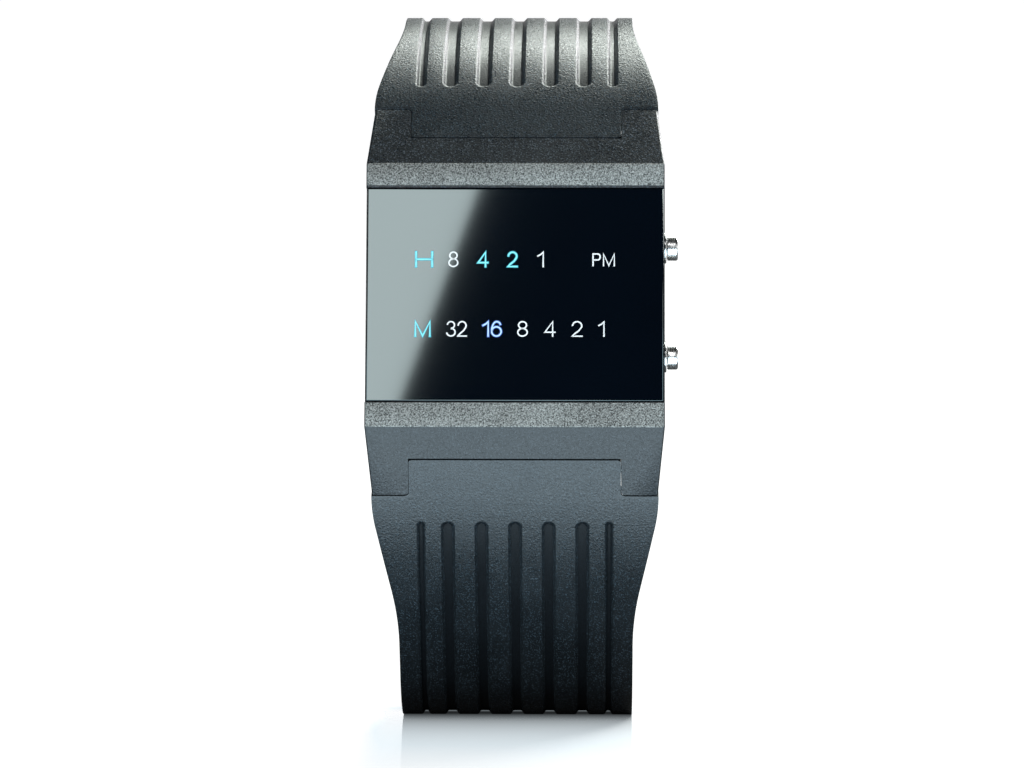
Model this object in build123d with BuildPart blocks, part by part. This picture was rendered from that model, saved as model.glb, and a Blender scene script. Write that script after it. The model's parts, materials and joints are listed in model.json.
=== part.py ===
from build123d import *
import os
from math import cos, radians, sin, tan

# A binary wristwatch that stands on its open strap, as a watch does on a shop counter.
# X runs across the dial to the button side, the dial faces -Y and leans back, and Z is up.
# The origin is on the floor, in the middle of the space that the watch takes up.

# Stance
lean_angle = 14.0

# Case moulding: a flat front with two sloping links
case_width = 36.0
face_height = 32.0
case_thickness = 10.2
back_overhang = 1.2
case_edge_round = 0.3
link_angle = 31.5
link_length = 9.0
horn_taper = 0.8

# Hinge between the case and each strap
notch_start = 4.25
horn_end_thickness = 4.4
pin_reach = 6.6
pin_depth = 2.3
nose_gap = 0.2
shoulder_gap = 0.15
tongue_side_gap = 0.15
horn_corner_round = 0.5
shoulder_relief_angle = 14.0
bar_radius = 0.9
bar_fit = 0.06
bar_end_gap = 0.1
bar_tip_radius = 0.42
bar_tip_reach = 1.2
bar_tip_fit = 0.03
bar_plunger_radius = 0.6
bar_plunger_length = 3.0

# Strap moulding
shoulder_overhang = 0.1
waist_run_in = 3.0
end_run_in = 2.3
strap_thickness = 3.0
strap_flank_start = 2.2
strap_flank_end = 16.8
strap_flank_round = 20.0
strap_waist_round = 40.0

# Upper strap, which carries the buckle: over the top, round the back and straight down
crown_radius = 38.0
crown_turn = 44.0
rear_radius = 24.0
rear_turn = 70.0
rear_straight = 27.0
rear_strap_thickness = 2.8
rear_taper_before = 12.0
rear_taper_after = 3.0

# Lower strap, which has the holes: down the front, round the foot and back along the floor
shin_radius = 100.0
shin_turn = 15.0
foot_radius = 13.5
tail_length = 78.0
tail_thickness = 2.4
tail_taper_length = 40.0
hole_length = 3.2
hole_width = 2.2
hole_pitch = 6.0
hole_count = 9
last_hole_to_tip = 12.0

# Grooves between the ribs of the strap
groove_depth = 0.6
groove_pitch_share = 0.1416
inner_groove_count = 5
inner_groove_width = 1.7
outer_groove_inset = 2.8
outer_groove_width = 0.9
upper_groove_start = 5.0
upper_groove_end = 43.0
lower_groove_start = 3.5
lower_groove_end_on_tail = 9.0

# Glass and the parts behind it
bar_height = 3.0
glass_side_inset = 0.15
glass_gap = 0.1
glass_thickness = 1.2
glass_chamfer = 0.12
tape_side_inset = 0.35
tape_end_inset = 0.1
tape_thickness = 0.2
side_wall_thickness = 3.2
glass_ledge = 0.6
cavity_corner = 1.0
module_gap = 0.2
film_thickness = 0.15
mask_thickness = 1.6
well_width = 2.4
well_height = 2.8
row_height = 4.2
hour_well_shares = (-0.614, -0.415, -0.218, -0.018, 0.172, 0.594)
minute_well_shares = (-0.616, -0.392, -0.155, 0.052, 0.235, 0.415, 0.583)
light_length = 1.6
light_width = 0.8
light_thickness = 0.5

# Circuit board and what is soldered to it
board_thickness = 0.8
recess_side_inset = 4.1
recess_end_inset = 5.7
recess_depth = 1.1
chip_size = 5.0
chip_thickness = 0.9
chip_place_shares = (-0.238, 0.115)
crystal_length = 3.2
crystal_width = 1.5
crystal_thickness = 0.8
crystal_place_shares = (0.262, 0.231)
resistor_length = 1.0
resistor_width = 0.5
resistor_thickness = 0.35
resistor_pitch = 1.8
resistor_count = 4
resistor_place_shares = (0.238, -0.192)
board_screw_inset = 1.9
board_screw_radius = 0.45
board_screw_head_radius = 0.85
board_screw_head_thickness = 0.5
board_screw_bite = 1.0

# Coin cells and their contacts
cell_room = 2.4
cell_thickness = 1.6
cell_lid_inset = 1.1
cell_step = 0.15
cell_pocket_gap = 0.15
contact_thickness = 0.2
contact_end_inset = 3.5
contact_width = 2.4
contact_leg_length = 1.2
clip_width = 4.0
clip_thickness = 0.2
clip_room = 1.0
clip_leg_length = 3.0
clip_slot_gap = 0.05

# Steel back
cover_side_inset = 1.5
cover_end_inset = 1.5
cover_thickness = 0.8
cover_corner = 2.2
cover_gap = 0.05
cover_edge_chamfer = 0.2
gasket_inset = 0.25
gasket_width = 0.7
gasket_thickness = 0.45
cover_screw_from_side = 3.5
cover_screw_from_end = 1.25
cover_screw_radius = 0.45
cover_screw_head_radius = 0.85
cover_screw_head_thickness = 0.4
cover_screw_length = 2.4
cover_screw_sink = 0.05
screw_slot_width = 0.25
screw_slot_depth = 0.2

# Push buttons, each in a steel bush
button_spacing = 13.4
button_depth = 5.3
button_travel = 0.6
bush_flange_radius = 1.9
bush_flange_thickness = 0.25
bush_cup_depth = 1.2
bush_cup_floor = 0.4
bush_tail_radius = 1.3
cap_radius = 1.55
cap_reach = 1.65
cap_gap = 0.1
cap_round = 0.25
cap_fit = 0.07
stem_radius = 0.6
stem_fit = 0.07
stem_end_length = 0.35
seal_wire_radius = 0.13
seal_groove_depth = 0.2
seal_place_share = 0.5
ring_clip_radius = 1.1
ring_clip_thickness = 0.2
ring_clip_gap = 0.04
button_spring_radius = 0.95
button_spring_wire_radius = 0.1
button_spring_turns = 4
button_spring_end_gap = 0.03
contact_pocket_width = 3.4
contact_pocket_depth = 3.2
contact_pocket_height = 3.4
leaf_gap = 0.05
leaf_thickness = 0.15
leaf_width = 2.0
leaf_height = 3.0

# Buckle, its tongue and the two keepers
eyelet_radius = 2.0
tongue_slot_width = 4.0
tongue_slot_length = 3.4
buckle_side_gap = 0.25
buckle_arm_width = 2.6
buckle_length = 15.0
buckle_bar_depth = 3.4
buckle_thickness = 2.6
buckle_heel = 1.6
buckle_corner = 3.0
buckle_edge_round = 0.35
buckle_notch_width = 3.0
buckle_notch_depth = 0.45
prong_width = 2.4
prong_thickness = 1.05
prong_gap = 0.05
prong_end_inset = 0.6
prong_ring_radius = 1.95
prong_ring_width = 3.0
keeper_wall = 1.1
keeper_tail_room = 2.7
keeper_corner = 1.4
fixed_keeper_length = 3.5
fixed_keeper_from_pin = 7.0
free_keeper_length = 4.0
free_keeper_gap = 0.3
free_keeper_fit = 0.1

# How far cutting shapes run past what they cut
overrun = 1.0
cut_reach = 160.0

# Sizes that follow from those above
horn_end_width = case_width - 2 * horn_taper
notch_width = horn_end_width - 2 * horn_end_thickness
case_back_height = face_height + 2 * back_overhang
glass_width = case_width - 2 * glass_side_inset
glass_height = face_height - 2 * bar_height
tape_width = glass_width - 2 * tape_side_inset
tape_height = glass_height - 2 * tape_end_inset
cavity_width = case_width - 2 * side_wall_thickness
cavity_height = glass_height - 2 * glass_ledge
strap_root_width = horn_end_width + 2 * shoulder_overhang
strap_waist_width = strap_root_width - 2 * waist_run_in
strap_end_width = strap_waist_width - 2 * end_run_in
groove_pitch = groove_pitch_share * strap_waist_width
outer_groove_place = strap_waist_width / 2 - outer_groove_inset
nose_radius = pin_reach - notch_start - nose_gap
root_thickness = pin_depth + nose_radius
shoulder_reach = link_length + shoulder_gap
tongue_width = notch_width - 2 * tongue_side_gap
foot_turn = 90 - (link_angle - lean_angle) - shin_turn
module_width = cavity_width - 2 * module_gap
module_height = cavity_height - 2 * module_gap
recess_width = module_width - 2 * recess_side_inset
recess_height = module_height - 2 * recess_end_inset
board_screw_place = (module_width / 2 - board_screw_inset, module_height / 2 - board_screw_inset)
chip_place = (chip_place_shares[0] * recess_width, chip_place_shares[1] * recess_height)
crystal_place = (crystal_place_shares[0] * recess_width, crystal_place_shares[1] * recess_height)
resistor_row_place = (
    resistor_place_shares[0] * recess_width,
    resistor_place_shares[1] * recess_height,
)
cell_radius = cavity_height / 2 - cell_room
cell_lid_radius = cell_radius - cell_lid_inset
contact_length = 2 * (cell_radius - contact_end_inset)
clip_reach = cell_radius + clip_room
cover_width = case_width - 2 * cover_side_inset
cover_height = case_back_height - 2 * cover_end_inset
cover_screw_place = (
    cover_width / 2 - cover_screw_from_side,
    cover_height / 2 - cover_screw_from_end,
)
film_level = -glass_thickness
mask_level = film_level - film_thickness
board_level = mask_level - mask_thickness
frame_level = board_level - board_thickness
cover_level = cover_thickness - case_thickness
cell_level = cover_level + clip_thickness
contact_level = cell_level + 2 * cell_thickness
upper_runs = (
    (crown_radius * radians(crown_turn), crown_turn),
    (rear_radius * radians(rear_turn), rear_turn),
    (rear_straight, 0),
)
lower_runs = (
    (shin_radius * radians(shin_turn), shin_turn),
    (foot_radius * radians(foot_turn), foot_turn),
    (tail_length, 0),
)
upper_bends = upper_runs[0][0] + upper_runs[1][0]
lower_bends = lower_runs[0][0] + lower_runs[1][0]


# A place on a strap's outer face, seen from the side in its link's plane: how far along the
# link, how far out, and how far the strap has turned there
def walk(runs, along):
    reach, rise, turned = shoulder_reach, 0, 0
    for length, turn in runs:
        step = min(along, length)
        bend = turn * step / length
        if turn:
            radius = length / radians(turn)
            reach += radius * (sin(radians(turned + bend)) - sin(radians(turned)))
            rise += radius * (cos(radians(turned + bend)) - cos(radians(turned)))
        else:
            reach += step * cos(radians(turned))
            rise -= step * sin(radians(turned))
        turned += bend
        along -= step
    return reach, rise, turned


# The same place, sunk below the outer face
def sunk(runs, along, depth):
    reach, rise, turned = walk(runs, along)
    return (reach - depth * sin(radians(turned)), rise - depth * cos(radians(turned)))


# Lines and arcs that follow the strap, at a depth that changes evenly along the way
def follow(runs, start, end, start_depth, end_depth):
    marks = (runs[0][0], runs[0][0] + runs[1][0])
    stops = [start] + [mark for mark in marks if start < mark < end] + [end]
    for first, last in zip(stops, stops[1:]):
        points = []
        for along in (first, (first + last) / 2, last):
            share = (along - start) / (end - start)
            points.append(sunk(runs, along, start_depth + share * (end_depth - start_depth)))
        if first < marks[1]:
            ThreePointArc(*points)
        else:
            Line(points[0], points[2])


# The plane of a link's side, with its origin at the edge of the flat front, X along the link and
# Y outwards. The side is 1 for the upper link and -1 for the lower one.
dial_up = Vector(0, sin(radians(lean_angle)), cos(radians(lean_angle)))
dial_normal = Vector(0, -cos(radians(lean_angle)), sin(radians(lean_angle)))


def link_plane(centre, side):
    along = dial_up * side * cos(radians(link_angle)) - dial_normal * sin(radians(link_angle))
    edge = Vector(centre) + dial_up * side * face_height / 2
    return Plane(origin=edge, x_dir=along, z_dir=(side, 0, 0))


# A plane that lies on the strap's outer face: X across the strap, Y along it and Z outwards
def strap_plane(side_plane, runs, along, depth=0):
    turned = radians(walk(runs, along)[2])
    outward = side_plane.x_dir * sin(turned) + side_plane.y_dir * cos(turned)
    origin = side_plane.from_local_coords((*sunk(runs, along, depth), 0))
    return Plane(origin=origin, x_dir=side_plane.z_dir, z_dir=outward)


# The dial's centre, found from the foot, which lies on the floor, and from the tail's tip
loose_link = link_plane((0, 0, 0), -1)
loose_foot = strap_plane(loose_link, lower_runs, lower_bends).origin
front_reach = face_height / 2 * sin(radians(lean_angle))
middle = (loose_foot.Y + tail_length - front_reach) / 2
dial_centre = Vector(-cap_reach / 2, -middle, -loose_foot.Z)

dial = Plane(origin=dial_centre, x_dir=(1, 0, 0), z_dir=dial_normal)
dial_side = Plane(origin=dial_centre, x_dir=dial_up, z_dir=(1, 0, 0))
dial_axis = Axis(dial_centre, dial_normal)
upper_link = link_plane(dial_centre, 1)
lower_link = link_plane(dial_centre, -1)
upper_face = Plane(origin=upper_link.origin, x_dir=upper_link.z_dir, z_dir=upper_link.y_dir)
lower_face = Plane(origin=lower_link.origin, x_dir=lower_link.z_dir, z_dir=lower_link.y_dir)
button_sides = {"upper": 1, "lower": -1}


def button_plane(side):
    place = (case_width / 2, side * button_spacing / 2, -button_depth)
    return Plane(origin=dial.from_local_coords(place), x_dir=dial_up, z_dir=(1, 0, 0))


def four_corners(place):
    return [(x * place[0], y * place[1]) for x in (-1, 1) for y in (-1, 1)]


# Case moulding
link_cos, link_sin = cos(radians(link_angle)), sin(radians(link_angle))
horn_corner = (face_height / 2 + link_length * link_cos, -link_length * link_sin)
horn_heel = (
    horn_corner[0] - root_thickness * link_sin,
    horn_corner[1] - root_thickness * link_cos,
)
with BuildPart() as case_body:
    with BuildSketch(dial_side):
        with BuildLine():
            Polyline(
                (-horn_corner[0], horn_corner[1]),
                (-face_height / 2, 0),
                (face_height / 2, 0),
                horn_corner,
                horn_heel,
                (case_back_height / 2, -case_thickness),
                (-case_back_height / 2, -case_thickness),
                (-horn_heel[0], horn_heel[1]),
                close=True,
            )
        make_face()
    extrude(amount=case_width / 2, both=True)
    with BuildSketch(dial):
        with BuildLine():
            Polyline(
                (0, horn_corner[0] + overrun),
                (horn_end_width / 2, horn_corner[0] + overrun),
                (horn_end_width / 2, horn_corner[0]),
                (case_width / 2, face_height / 2),
                (case_width / 2, -face_height / 2),
                (horn_end_width / 2, -horn_corner[0]),
                (horn_end_width / 2, -horn_corner[0] - overrun),
                (0, -horn_corner[0] - overrun),
            )
            mirror(about=Plane.YZ)
        make_face()
    extrude(amount=case_thickness + overrun, both=True, mode=Mode.INTERSECT)
    side_edges = case_body.edges().filter_by(
        lambda edge: abs(edge.center().X - dial_centre.X) > horn_end_width / 2 - case_edge_round
        and dial.to_local_coords(edge.center()).Z > horn_corner[1]
        and abs(edge.tangent_at(0).dot(dial_normal)) < link_cos
    )
    fillet(side_edges, radius=case_edge_round)
    # A notch in each link takes the strap's tongue, and is open at the back
    for link in (upper_link, lower_link):
        with BuildSketch(link):
            with BuildLine():
                wall = Line((notch_start, overrun), (notch_start, -pin_depth))
                bend = CenterArc((pin_reach, -pin_depth), pin_reach - notch_start, 180, link_angle)
                drop = PolarLine(bend @ 1, case_thickness, link_angle - 90)
                Polyline(
                    drop @ 1,
                    (case_thickness + link_length, (drop @ 1).Y),
                    (case_thickness + link_length, overrun),
                    wall @ 0,
                )
            make_face()
        extrude(amount=notch_width / 2, both=True, mode=Mode.SUBTRACT)
        with BuildSketch(link):
            with Locations((pin_reach, -pin_depth)):
                Circle(bar_tip_radius + bar_tip_fit)
        extrude(amount=notch_width / 2 + bar_tip_reach + bar_end_gap, both=True, mode=Mode.SUBTRACT)
        for side in (-1, 1):
            horn_middle = link.from_local_coords(
                (link_length, -root_thickness / 2, side * notch_width / 2)
            )
            horn_edges = case_body.edges().filter_by(
                lambda edge: (edge.center() - horn_middle).length < horn_corner_round
            )
            fillet(horn_edges, radius=horn_corner_round)
    # The glass lies in a channel, on tape, over the cavity
    with BuildSketch(dial):
        Rectangle(case_width + overrun, glass_height + 2 * glass_gap)
    extrude(amount=-glass_thickness, mode=Mode.SUBTRACT)
    with BuildSketch(dial.offset(-glass_thickness)):
        Rectangle(tape_width, tape_height)
    extrude(amount=-tape_thickness, mode=Mode.SUBTRACT)
    with BuildSketch(dial.offset(-glass_thickness)):
        RectangleRounded(cavity_width, cavity_height, cavity_corner)
    extrude(amount=-case_thickness, mode=Mode.SUBTRACT)
    # The back has a recess for the cover, a groove for its gasket and four screw holes
    with BuildSketch(dial.offset(cover_level)):
        RectangleRounded(cover_width + 2 * cover_gap, cover_height + 2 * cover_gap, cover_corner)
    extrude(amount=-cover_thickness - overrun, mode=Mode.SUBTRACT)
    with BuildSketch(dial.offset(cover_level)):
        RectangleRounded(
            cavity_width + 2 * (gasket_inset + gasket_width),
            cavity_height + 2 * (gasket_inset + gasket_width),
            cavity_corner + gasket_inset + gasket_width,
        )
        RectangleRounded(
            cavity_width + 2 * gasket_inset,
            cavity_height + 2 * gasket_inset,
            cavity_corner + gasket_inset,
            mode=Mode.SUBTRACT,
        )
    extrude(amount=gasket_thickness, mode=Mode.SUBTRACT)
    with BuildSketch(dial.offset(cover_level)):
        with Locations(four_corners(cover_screw_place)):
            Circle(cover_screw_radius)
    extrude(amount=cover_screw_length, mode=Mode.SUBTRACT)
    # Two stepped holes for the button bushes
    for side in button_sides.values():
        with Locations(button_plane(side)):
            CounterBoreHole(
                bush_tail_radius,
                bush_flange_radius,
                bush_cup_depth + bush_cup_floor,
                depth=side_wall_thickness + overrun,
            )

with BuildPart() as mirror_glass:
    with BuildSketch(dial):
        Rectangle(glass_width, glass_height)
    extrude(amount=-glass_thickness)
    chamfer(mirror_glass.faces().sort_by(dial_axis)[-1].edges(), length=glass_chamfer)

with BuildPart() as glass_tape:
    with BuildSketch(dial.offset(-glass_thickness)):
        Rectangle(tape_width, tape_height)
        RectangleRounded(cavity_width, cavity_height, cavity_corner, mode=Mode.SUBTRACT)
    extrude(amount=-tape_thickness)

with BuildPart() as legend_film:
    with BuildSketch(dial.offset(film_level)):
        RectangleRounded(module_width, module_height, cavity_corner)
    extrude(amount=-film_thickness)

# One light well, and one light chip, behind each numeral
well_places = [(share * glass_width / 2, row_height) for share in hour_well_shares]
well_places += [(share * glass_width / 2, -row_height) for share in minute_well_shares]
with BuildPart() as display_mask:
    with BuildSketch(dial.offset(mask_level)):
        RectangleRounded(module_width, module_height, cavity_corner)
        with Locations(well_places):
            Rectangle(well_width, well_height, mode=Mode.SUBTRACT)
    extrude(amount=-mask_thickness)
    with BuildSketch(dial.offset(board_level)):
        with Locations(four_corners(board_screw_place)):
            Circle(board_screw_radius)
    extrude(amount=board_screw_bite, mode=Mode.SUBTRACT)

with BuildPart() as light_chips:
    with BuildSketch(dial.offset(board_level)):
        with Locations(well_places):
            Rectangle(light_length, light_width)
    extrude(amount=light_thickness)

with BuildPart() as circuit_board:
    with BuildSketch(dial.offset(board_level)):
        RectangleRounded(module_width, module_height, cavity_corner)
        with Locations(four_corners(board_screw_place)):
            Circle(board_screw_radius, mode=Mode.SUBTRACT)
    extrude(amount=-board_thickness)

with BuildPart() as control_chip:
    with BuildSketch(dial.offset(frame_level)):
        with Locations(chip_place):
            Rectangle(chip_size, chip_size)
    extrude(amount=-chip_thickness)

with BuildPart() as clock_crystal:
    with BuildSketch(dial.offset(frame_level)):
        with Locations(crystal_place):
            Rectangle(crystal_length, crystal_width)
    extrude(amount=-crystal_thickness)

with BuildPart() as chip_resistors:
    with BuildSketch(dial.offset(frame_level)):
        with Locations(resistor_row_place):
            with GridLocations(resistor_pitch, 0, resistor_count, 1):
                Rectangle(resistor_width, resistor_length)
    extrude(amount=-resistor_thickness)

# Frame behind the board, with a round pocket for the cells
frame_thickness = frame_level - cover_level
pocket_x = case_width / 2 - side_wall_thickness - contact_pocket_depth / 2
with BuildPart() as movement_frame:
    with BuildSketch(dial.offset(frame_level)):
        RectangleRounded(module_width, module_height, cavity_corner)
        with Locations(four_corners(board_screw_place)):
            Circle(board_screw_radius, mode=Mode.SUBTRACT)
    extrude(amount=-frame_thickness)
    with BuildSketch(dial.offset(contact_level)):
        Circle(cell_radius + cell_pocket_gap)
        Rectangle(clip_width + 2 * clip_slot_gap, 2 * clip_reach)
    extrude(amount=-frame_thickness, mode=Mode.SUBTRACT)
    with BuildSketch(dial.offset(contact_level)):
        Rectangle(contact_length, contact_width)
    extrude(amount=contact_thickness, mode=Mode.SUBTRACT)
    with BuildSketch(dial.offset(frame_level)):
        Rectangle(recess_width, recess_height)
    extrude(amount=-recess_depth, mode=Mode.SUBTRACT)
    with BuildSketch(dial.offset(frame_level)):
        with Locations((contact_length / 2 - contact_width / 2, 0)):
            Rectangle(contact_leg_length, contact_leg_length)
    extrude(amount=-frame_thickness, mode=Mode.SUBTRACT)
    with BuildSketch(dial.offset(frame_level)):
        for side in button_sides.values():
            with Locations((pocket_x, side * button_spacing / 2)):
                Rectangle(contact_pocket_depth, contact_pocket_width)
    extrude(amount=-contact_pocket_height, mode=Mode.SUBTRACT)
    with BuildSketch(dial.offset(cover_level)):
        with Locations(four_corners(board_screw_place)):
            Circle(board_screw_head_radius)
    extrude(amount=board_screw_head_thickness, mode=Mode.SUBTRACT)

with BuildPart() as board_screws:
    with BuildSketch(dial.offset(cover_level)):
        with Locations(four_corners(board_screw_place)):
            Circle(board_screw_head_radius)
    extrude(amount=board_screw_head_thickness)
    with BuildSketch(dial.offset(cover_level)):
        with Locations(four_corners(board_screw_place)):
            Circle(board_screw_radius)
    extrude(amount=board_level + board_screw_bite - cover_level)
    with BuildSketch(dial.offset(cover_level)):
        with Locations(four_corners(board_screw_place)):
            Rectangle(2 * board_screw_head_radius, screw_slot_width)
    extrude(amount=screw_slot_depth, mode=Mode.SUBTRACT)

# A contact spring under the cells, with a leg to the board, and a clip over them
with BuildPart() as cell_contact:
    with BuildSketch(dial.offset(contact_level)):
        Rectangle(contact_length, contact_width)
    extrude(amount=contact_thickness)
    with BuildSketch(dial.offset(contact_level)):
        with Locations((contact_length / 2 - contact_width / 2, 0)):
            Rectangle(contact_leg_length, contact_leg_length)
    extrude(amount=frame_level - contact_level)

with BuildPart() as cell_clip:
    with BuildSketch(dial.offset(cover_level)):
        Rectangle(clip_width, 2 * clip_reach - 2 * clip_slot_gap)
    extrude(amount=clip_thickness)
    with BuildSketch(dial.offset(cell_level)):
        for side in (-1, 1):
            with Locations((0, side * (clip_reach - clip_slot_gap - clip_thickness / 2))):
                Rectangle(clip_width, clip_thickness)
    extrude(amount=clip_leg_length)

cells = {}
for name, level in (("rear_cell", cell_level), ("front_cell", cell_level + cell_thickness)):
    with BuildPart() as cell:
        with BuildSketch(dial.offset(level)):
            Circle(cell_radius)
        extrude(amount=cell_thickness - cell_step)
        with BuildSketch(dial.offset(level)):
            Circle(cell_lid_radius)
        extrude(amount=cell_thickness)
    cells[name] = cell

# Steel back, its gasket and four screws
with BuildPart() as case_back:
    with BuildSketch(dial.offset(cover_level)):
        RectangleRounded(cover_width, cover_height, cover_corner)
    extrude(amount=-cover_thickness)
    chamfer(case_back.faces().sort_by(dial_axis)[0].edges(), length=cover_edge_chamfer)
    with BuildSketch(dial.offset(cover_level)):
        with Locations(four_corners(cover_screw_place)):
            Circle(cover_screw_radius)
    extrude(amount=-cover_thickness, mode=Mode.SUBTRACT)
    with BuildSketch(dial.offset(-case_thickness)):
        with Locations(four_corners(cover_screw_place)):
            Circle(cover_screw_head_radius)
    extrude(amount=cover_screw_head_thickness + cover_screw_sink, mode=Mode.SUBTRACT)

with BuildPart() as back_gasket:
    with BuildSketch(dial.offset(cover_level)):
        RectangleRounded(
            cavity_width + 2 * (gasket_inset + gasket_width),
            cavity_height + 2 * (gasket_inset + gasket_width),
            cavity_corner + gasket_inset + gasket_width,
        )
        RectangleRounded(
            cavity_width + 2 * gasket_inset,
            cavity_height + 2 * gasket_inset,
            cavity_corner + gasket_inset,
            mode=Mode.SUBTRACT,
        )
    extrude(amount=gasket_thickness)

screw_face = -case_thickness + cover_screw_sink
with BuildPart() as back_screws:
    with BuildSketch(dial.offset(screw_face)):
        with Locations(four_corners(cover_screw_place)):
            Circle(cover_screw_head_radius)
    extrude(amount=cover_screw_head_thickness)
    with BuildSketch(dial.offset(screw_face)):
        with Locations(four_corners(cover_screw_place)):
            Circle(cover_screw_radius)
    extrude(amount=cover_level + cover_screw_length - screw_face)
    with BuildSketch(dial.offset(screw_face)):
        with Locations(four_corners(cover_screw_place)):
            Rectangle(2 * cover_screw_head_radius, screw_slot_width)
    extrude(amount=screw_slot_depth, mode=Mode.SUBTRACT)

# Push buttons: a bush in the wall, a capped stem with its seal, spring and ring clip
cap_bottom = bush_flange_thickness + cap_gap
stem_length = side_wall_thickness + ring_clip_gap + ring_clip_thickness + stem_end_length
seal_level = -(bush_cup_depth + bush_cup_floor)
seal_level -= seal_place_share * (side_wall_thickness - bush_cup_depth - bush_cup_floor)
seal_ring_radius = stem_radius - seal_groove_depth + seal_wire_radius
clip_level = -side_wall_thickness - ring_clip_gap
leaf_face = -(stem_length + button_travel + leaf_gap)
buttons = {}
for name, side in button_sides.items():
    plane = button_plane(side)
    with BuildPart() as bush:
        with BuildSketch(plane.offset(bush_flange_thickness)):
            Circle(bush_flange_radius)
        extrude(amount=-(bush_flange_thickness + bush_cup_depth + bush_cup_floor))
        with BuildSketch(plane):
            Circle(bush_tail_radius)
        extrude(amount=-side_wall_thickness)
        with BuildSketch(plane.offset(bush_flange_thickness)):
            Circle(cap_radius + cap_fit)
        extrude(amount=-(bush_flange_thickness + bush_cup_depth), mode=Mode.SUBTRACT)
        with BuildSketch(plane):
            Circle(stem_radius + stem_fit)
        extrude(amount=-side_wall_thickness, mode=Mode.SUBTRACT)
    with BuildPart() as button:
        with BuildSketch(plane.offset(cap_bottom)):
            Circle(cap_radius)
        extrude(amount=cap_reach - cap_bottom)
        fillet(button.faces().sort_by(Axis.X)[-1].edges(), radius=cap_round)
        with BuildSketch(plane.offset(cap_bottom)):
            Circle(stem_radius)
        extrude(amount=-(cap_bottom + stem_length))
        with BuildSketch(plane.offset(seal_level - seal_wire_radius)):
            Circle(stem_radius)
            Circle(stem_radius - seal_groove_depth, mode=Mode.SUBTRACT)
        extrude(amount=2 * seal_wire_radius, mode=Mode.SUBTRACT)
        with BuildSketch(plane.offset(clip_level - ring_clip_thickness)):
            Circle(stem_radius)
            Circle(stem_radius - seal_groove_depth, mode=Mode.SUBTRACT)
        extrude(amount=ring_clip_thickness, mode=Mode.SUBTRACT)
    with BuildPart() as seal:
        with Locations(plane.offset(seal_level)):
            Torus(seal_ring_radius, seal_wire_radius)
    with BuildPart() as ring_clip:
        with BuildSketch(plane.offset(clip_level - ring_clip_thickness)):
            Circle(ring_clip_radius)
            Circle(stem_radius - seal_groove_depth, mode=Mode.SUBTRACT)
            with Locations((0, ring_clip_radius)):
                Rectangle(stem_radius, 2 * ring_clip_radius, mode=Mode.SUBTRACT)
        extrude(amount=ring_clip_thickness)
    # The spring stands on the bush's floor, under the cap
    spring_foot = -bush_cup_depth + button_spring_wire_radius + button_spring_end_gap
    spring_height = cap_bottom - button_spring_wire_radius - button_spring_end_gap - spring_foot
    with BuildPart() as spring:
        with BuildLine() as coil:
            Helix(
                spring_height / button_spring_turns,
                spring_height,
                button_spring_radius,
                center=plane.offset(spring_foot).origin,
                direction=plane.z_dir,
            )
        with BuildSketch(Plane(origin=coil.line @ 0, z_dir=coil.line % 0)):
            Circle(button_spring_wire_radius)
        sweep(path=coil.line)
    with BuildPart() as leaf:
        with BuildSketch(plane.offset(leaf_face)):
            Rectangle(leaf_width, leaf_height)
        extrude(amount=-leaf_thickness)
    buttons[name + "_button_bush"] = bush
    buttons[name + "_button"] = button
    buttons[name + "_button_seal"] = seal
    buttons[name + "_button_clip"] = ring_clip
    buttons[name + "_button_spring"] = spring
    buttons[name + "_switch_leaf"] = leaf


# Spring bar: a tube with a sprung tip at each end
def spring_bar(plane, reach, tip_reach):
    half = reach / 2
    with BuildPart() as tube:
        with BuildSketch(plane):
            Circle(bar_radius)
        extrude(amount=half - bar_end_gap, both=True)
        for side in (-1, 1):
            with BuildSketch(plane.offset(side * (half - bar_end_gap))):
                Circle(bar_plunger_radius)
            extrude(amount=-side * bar_plunger_length, mode=Mode.SUBTRACT)
    with BuildPart() as tips:
        for side in (-1, 1):
            with BuildSketch(plane.offset(side * (half - bar_end_gap))):
                Circle(bar_plunger_radius)
            extrude(amount=-side * bar_plunger_length)
            with BuildSketch(plane.offset(side * (half - bar_end_gap))):
                Circle(bar_tip_radius)
            extrude(amount=side * (bar_end_gap + tip_reach))
    return tube, tips


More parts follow.
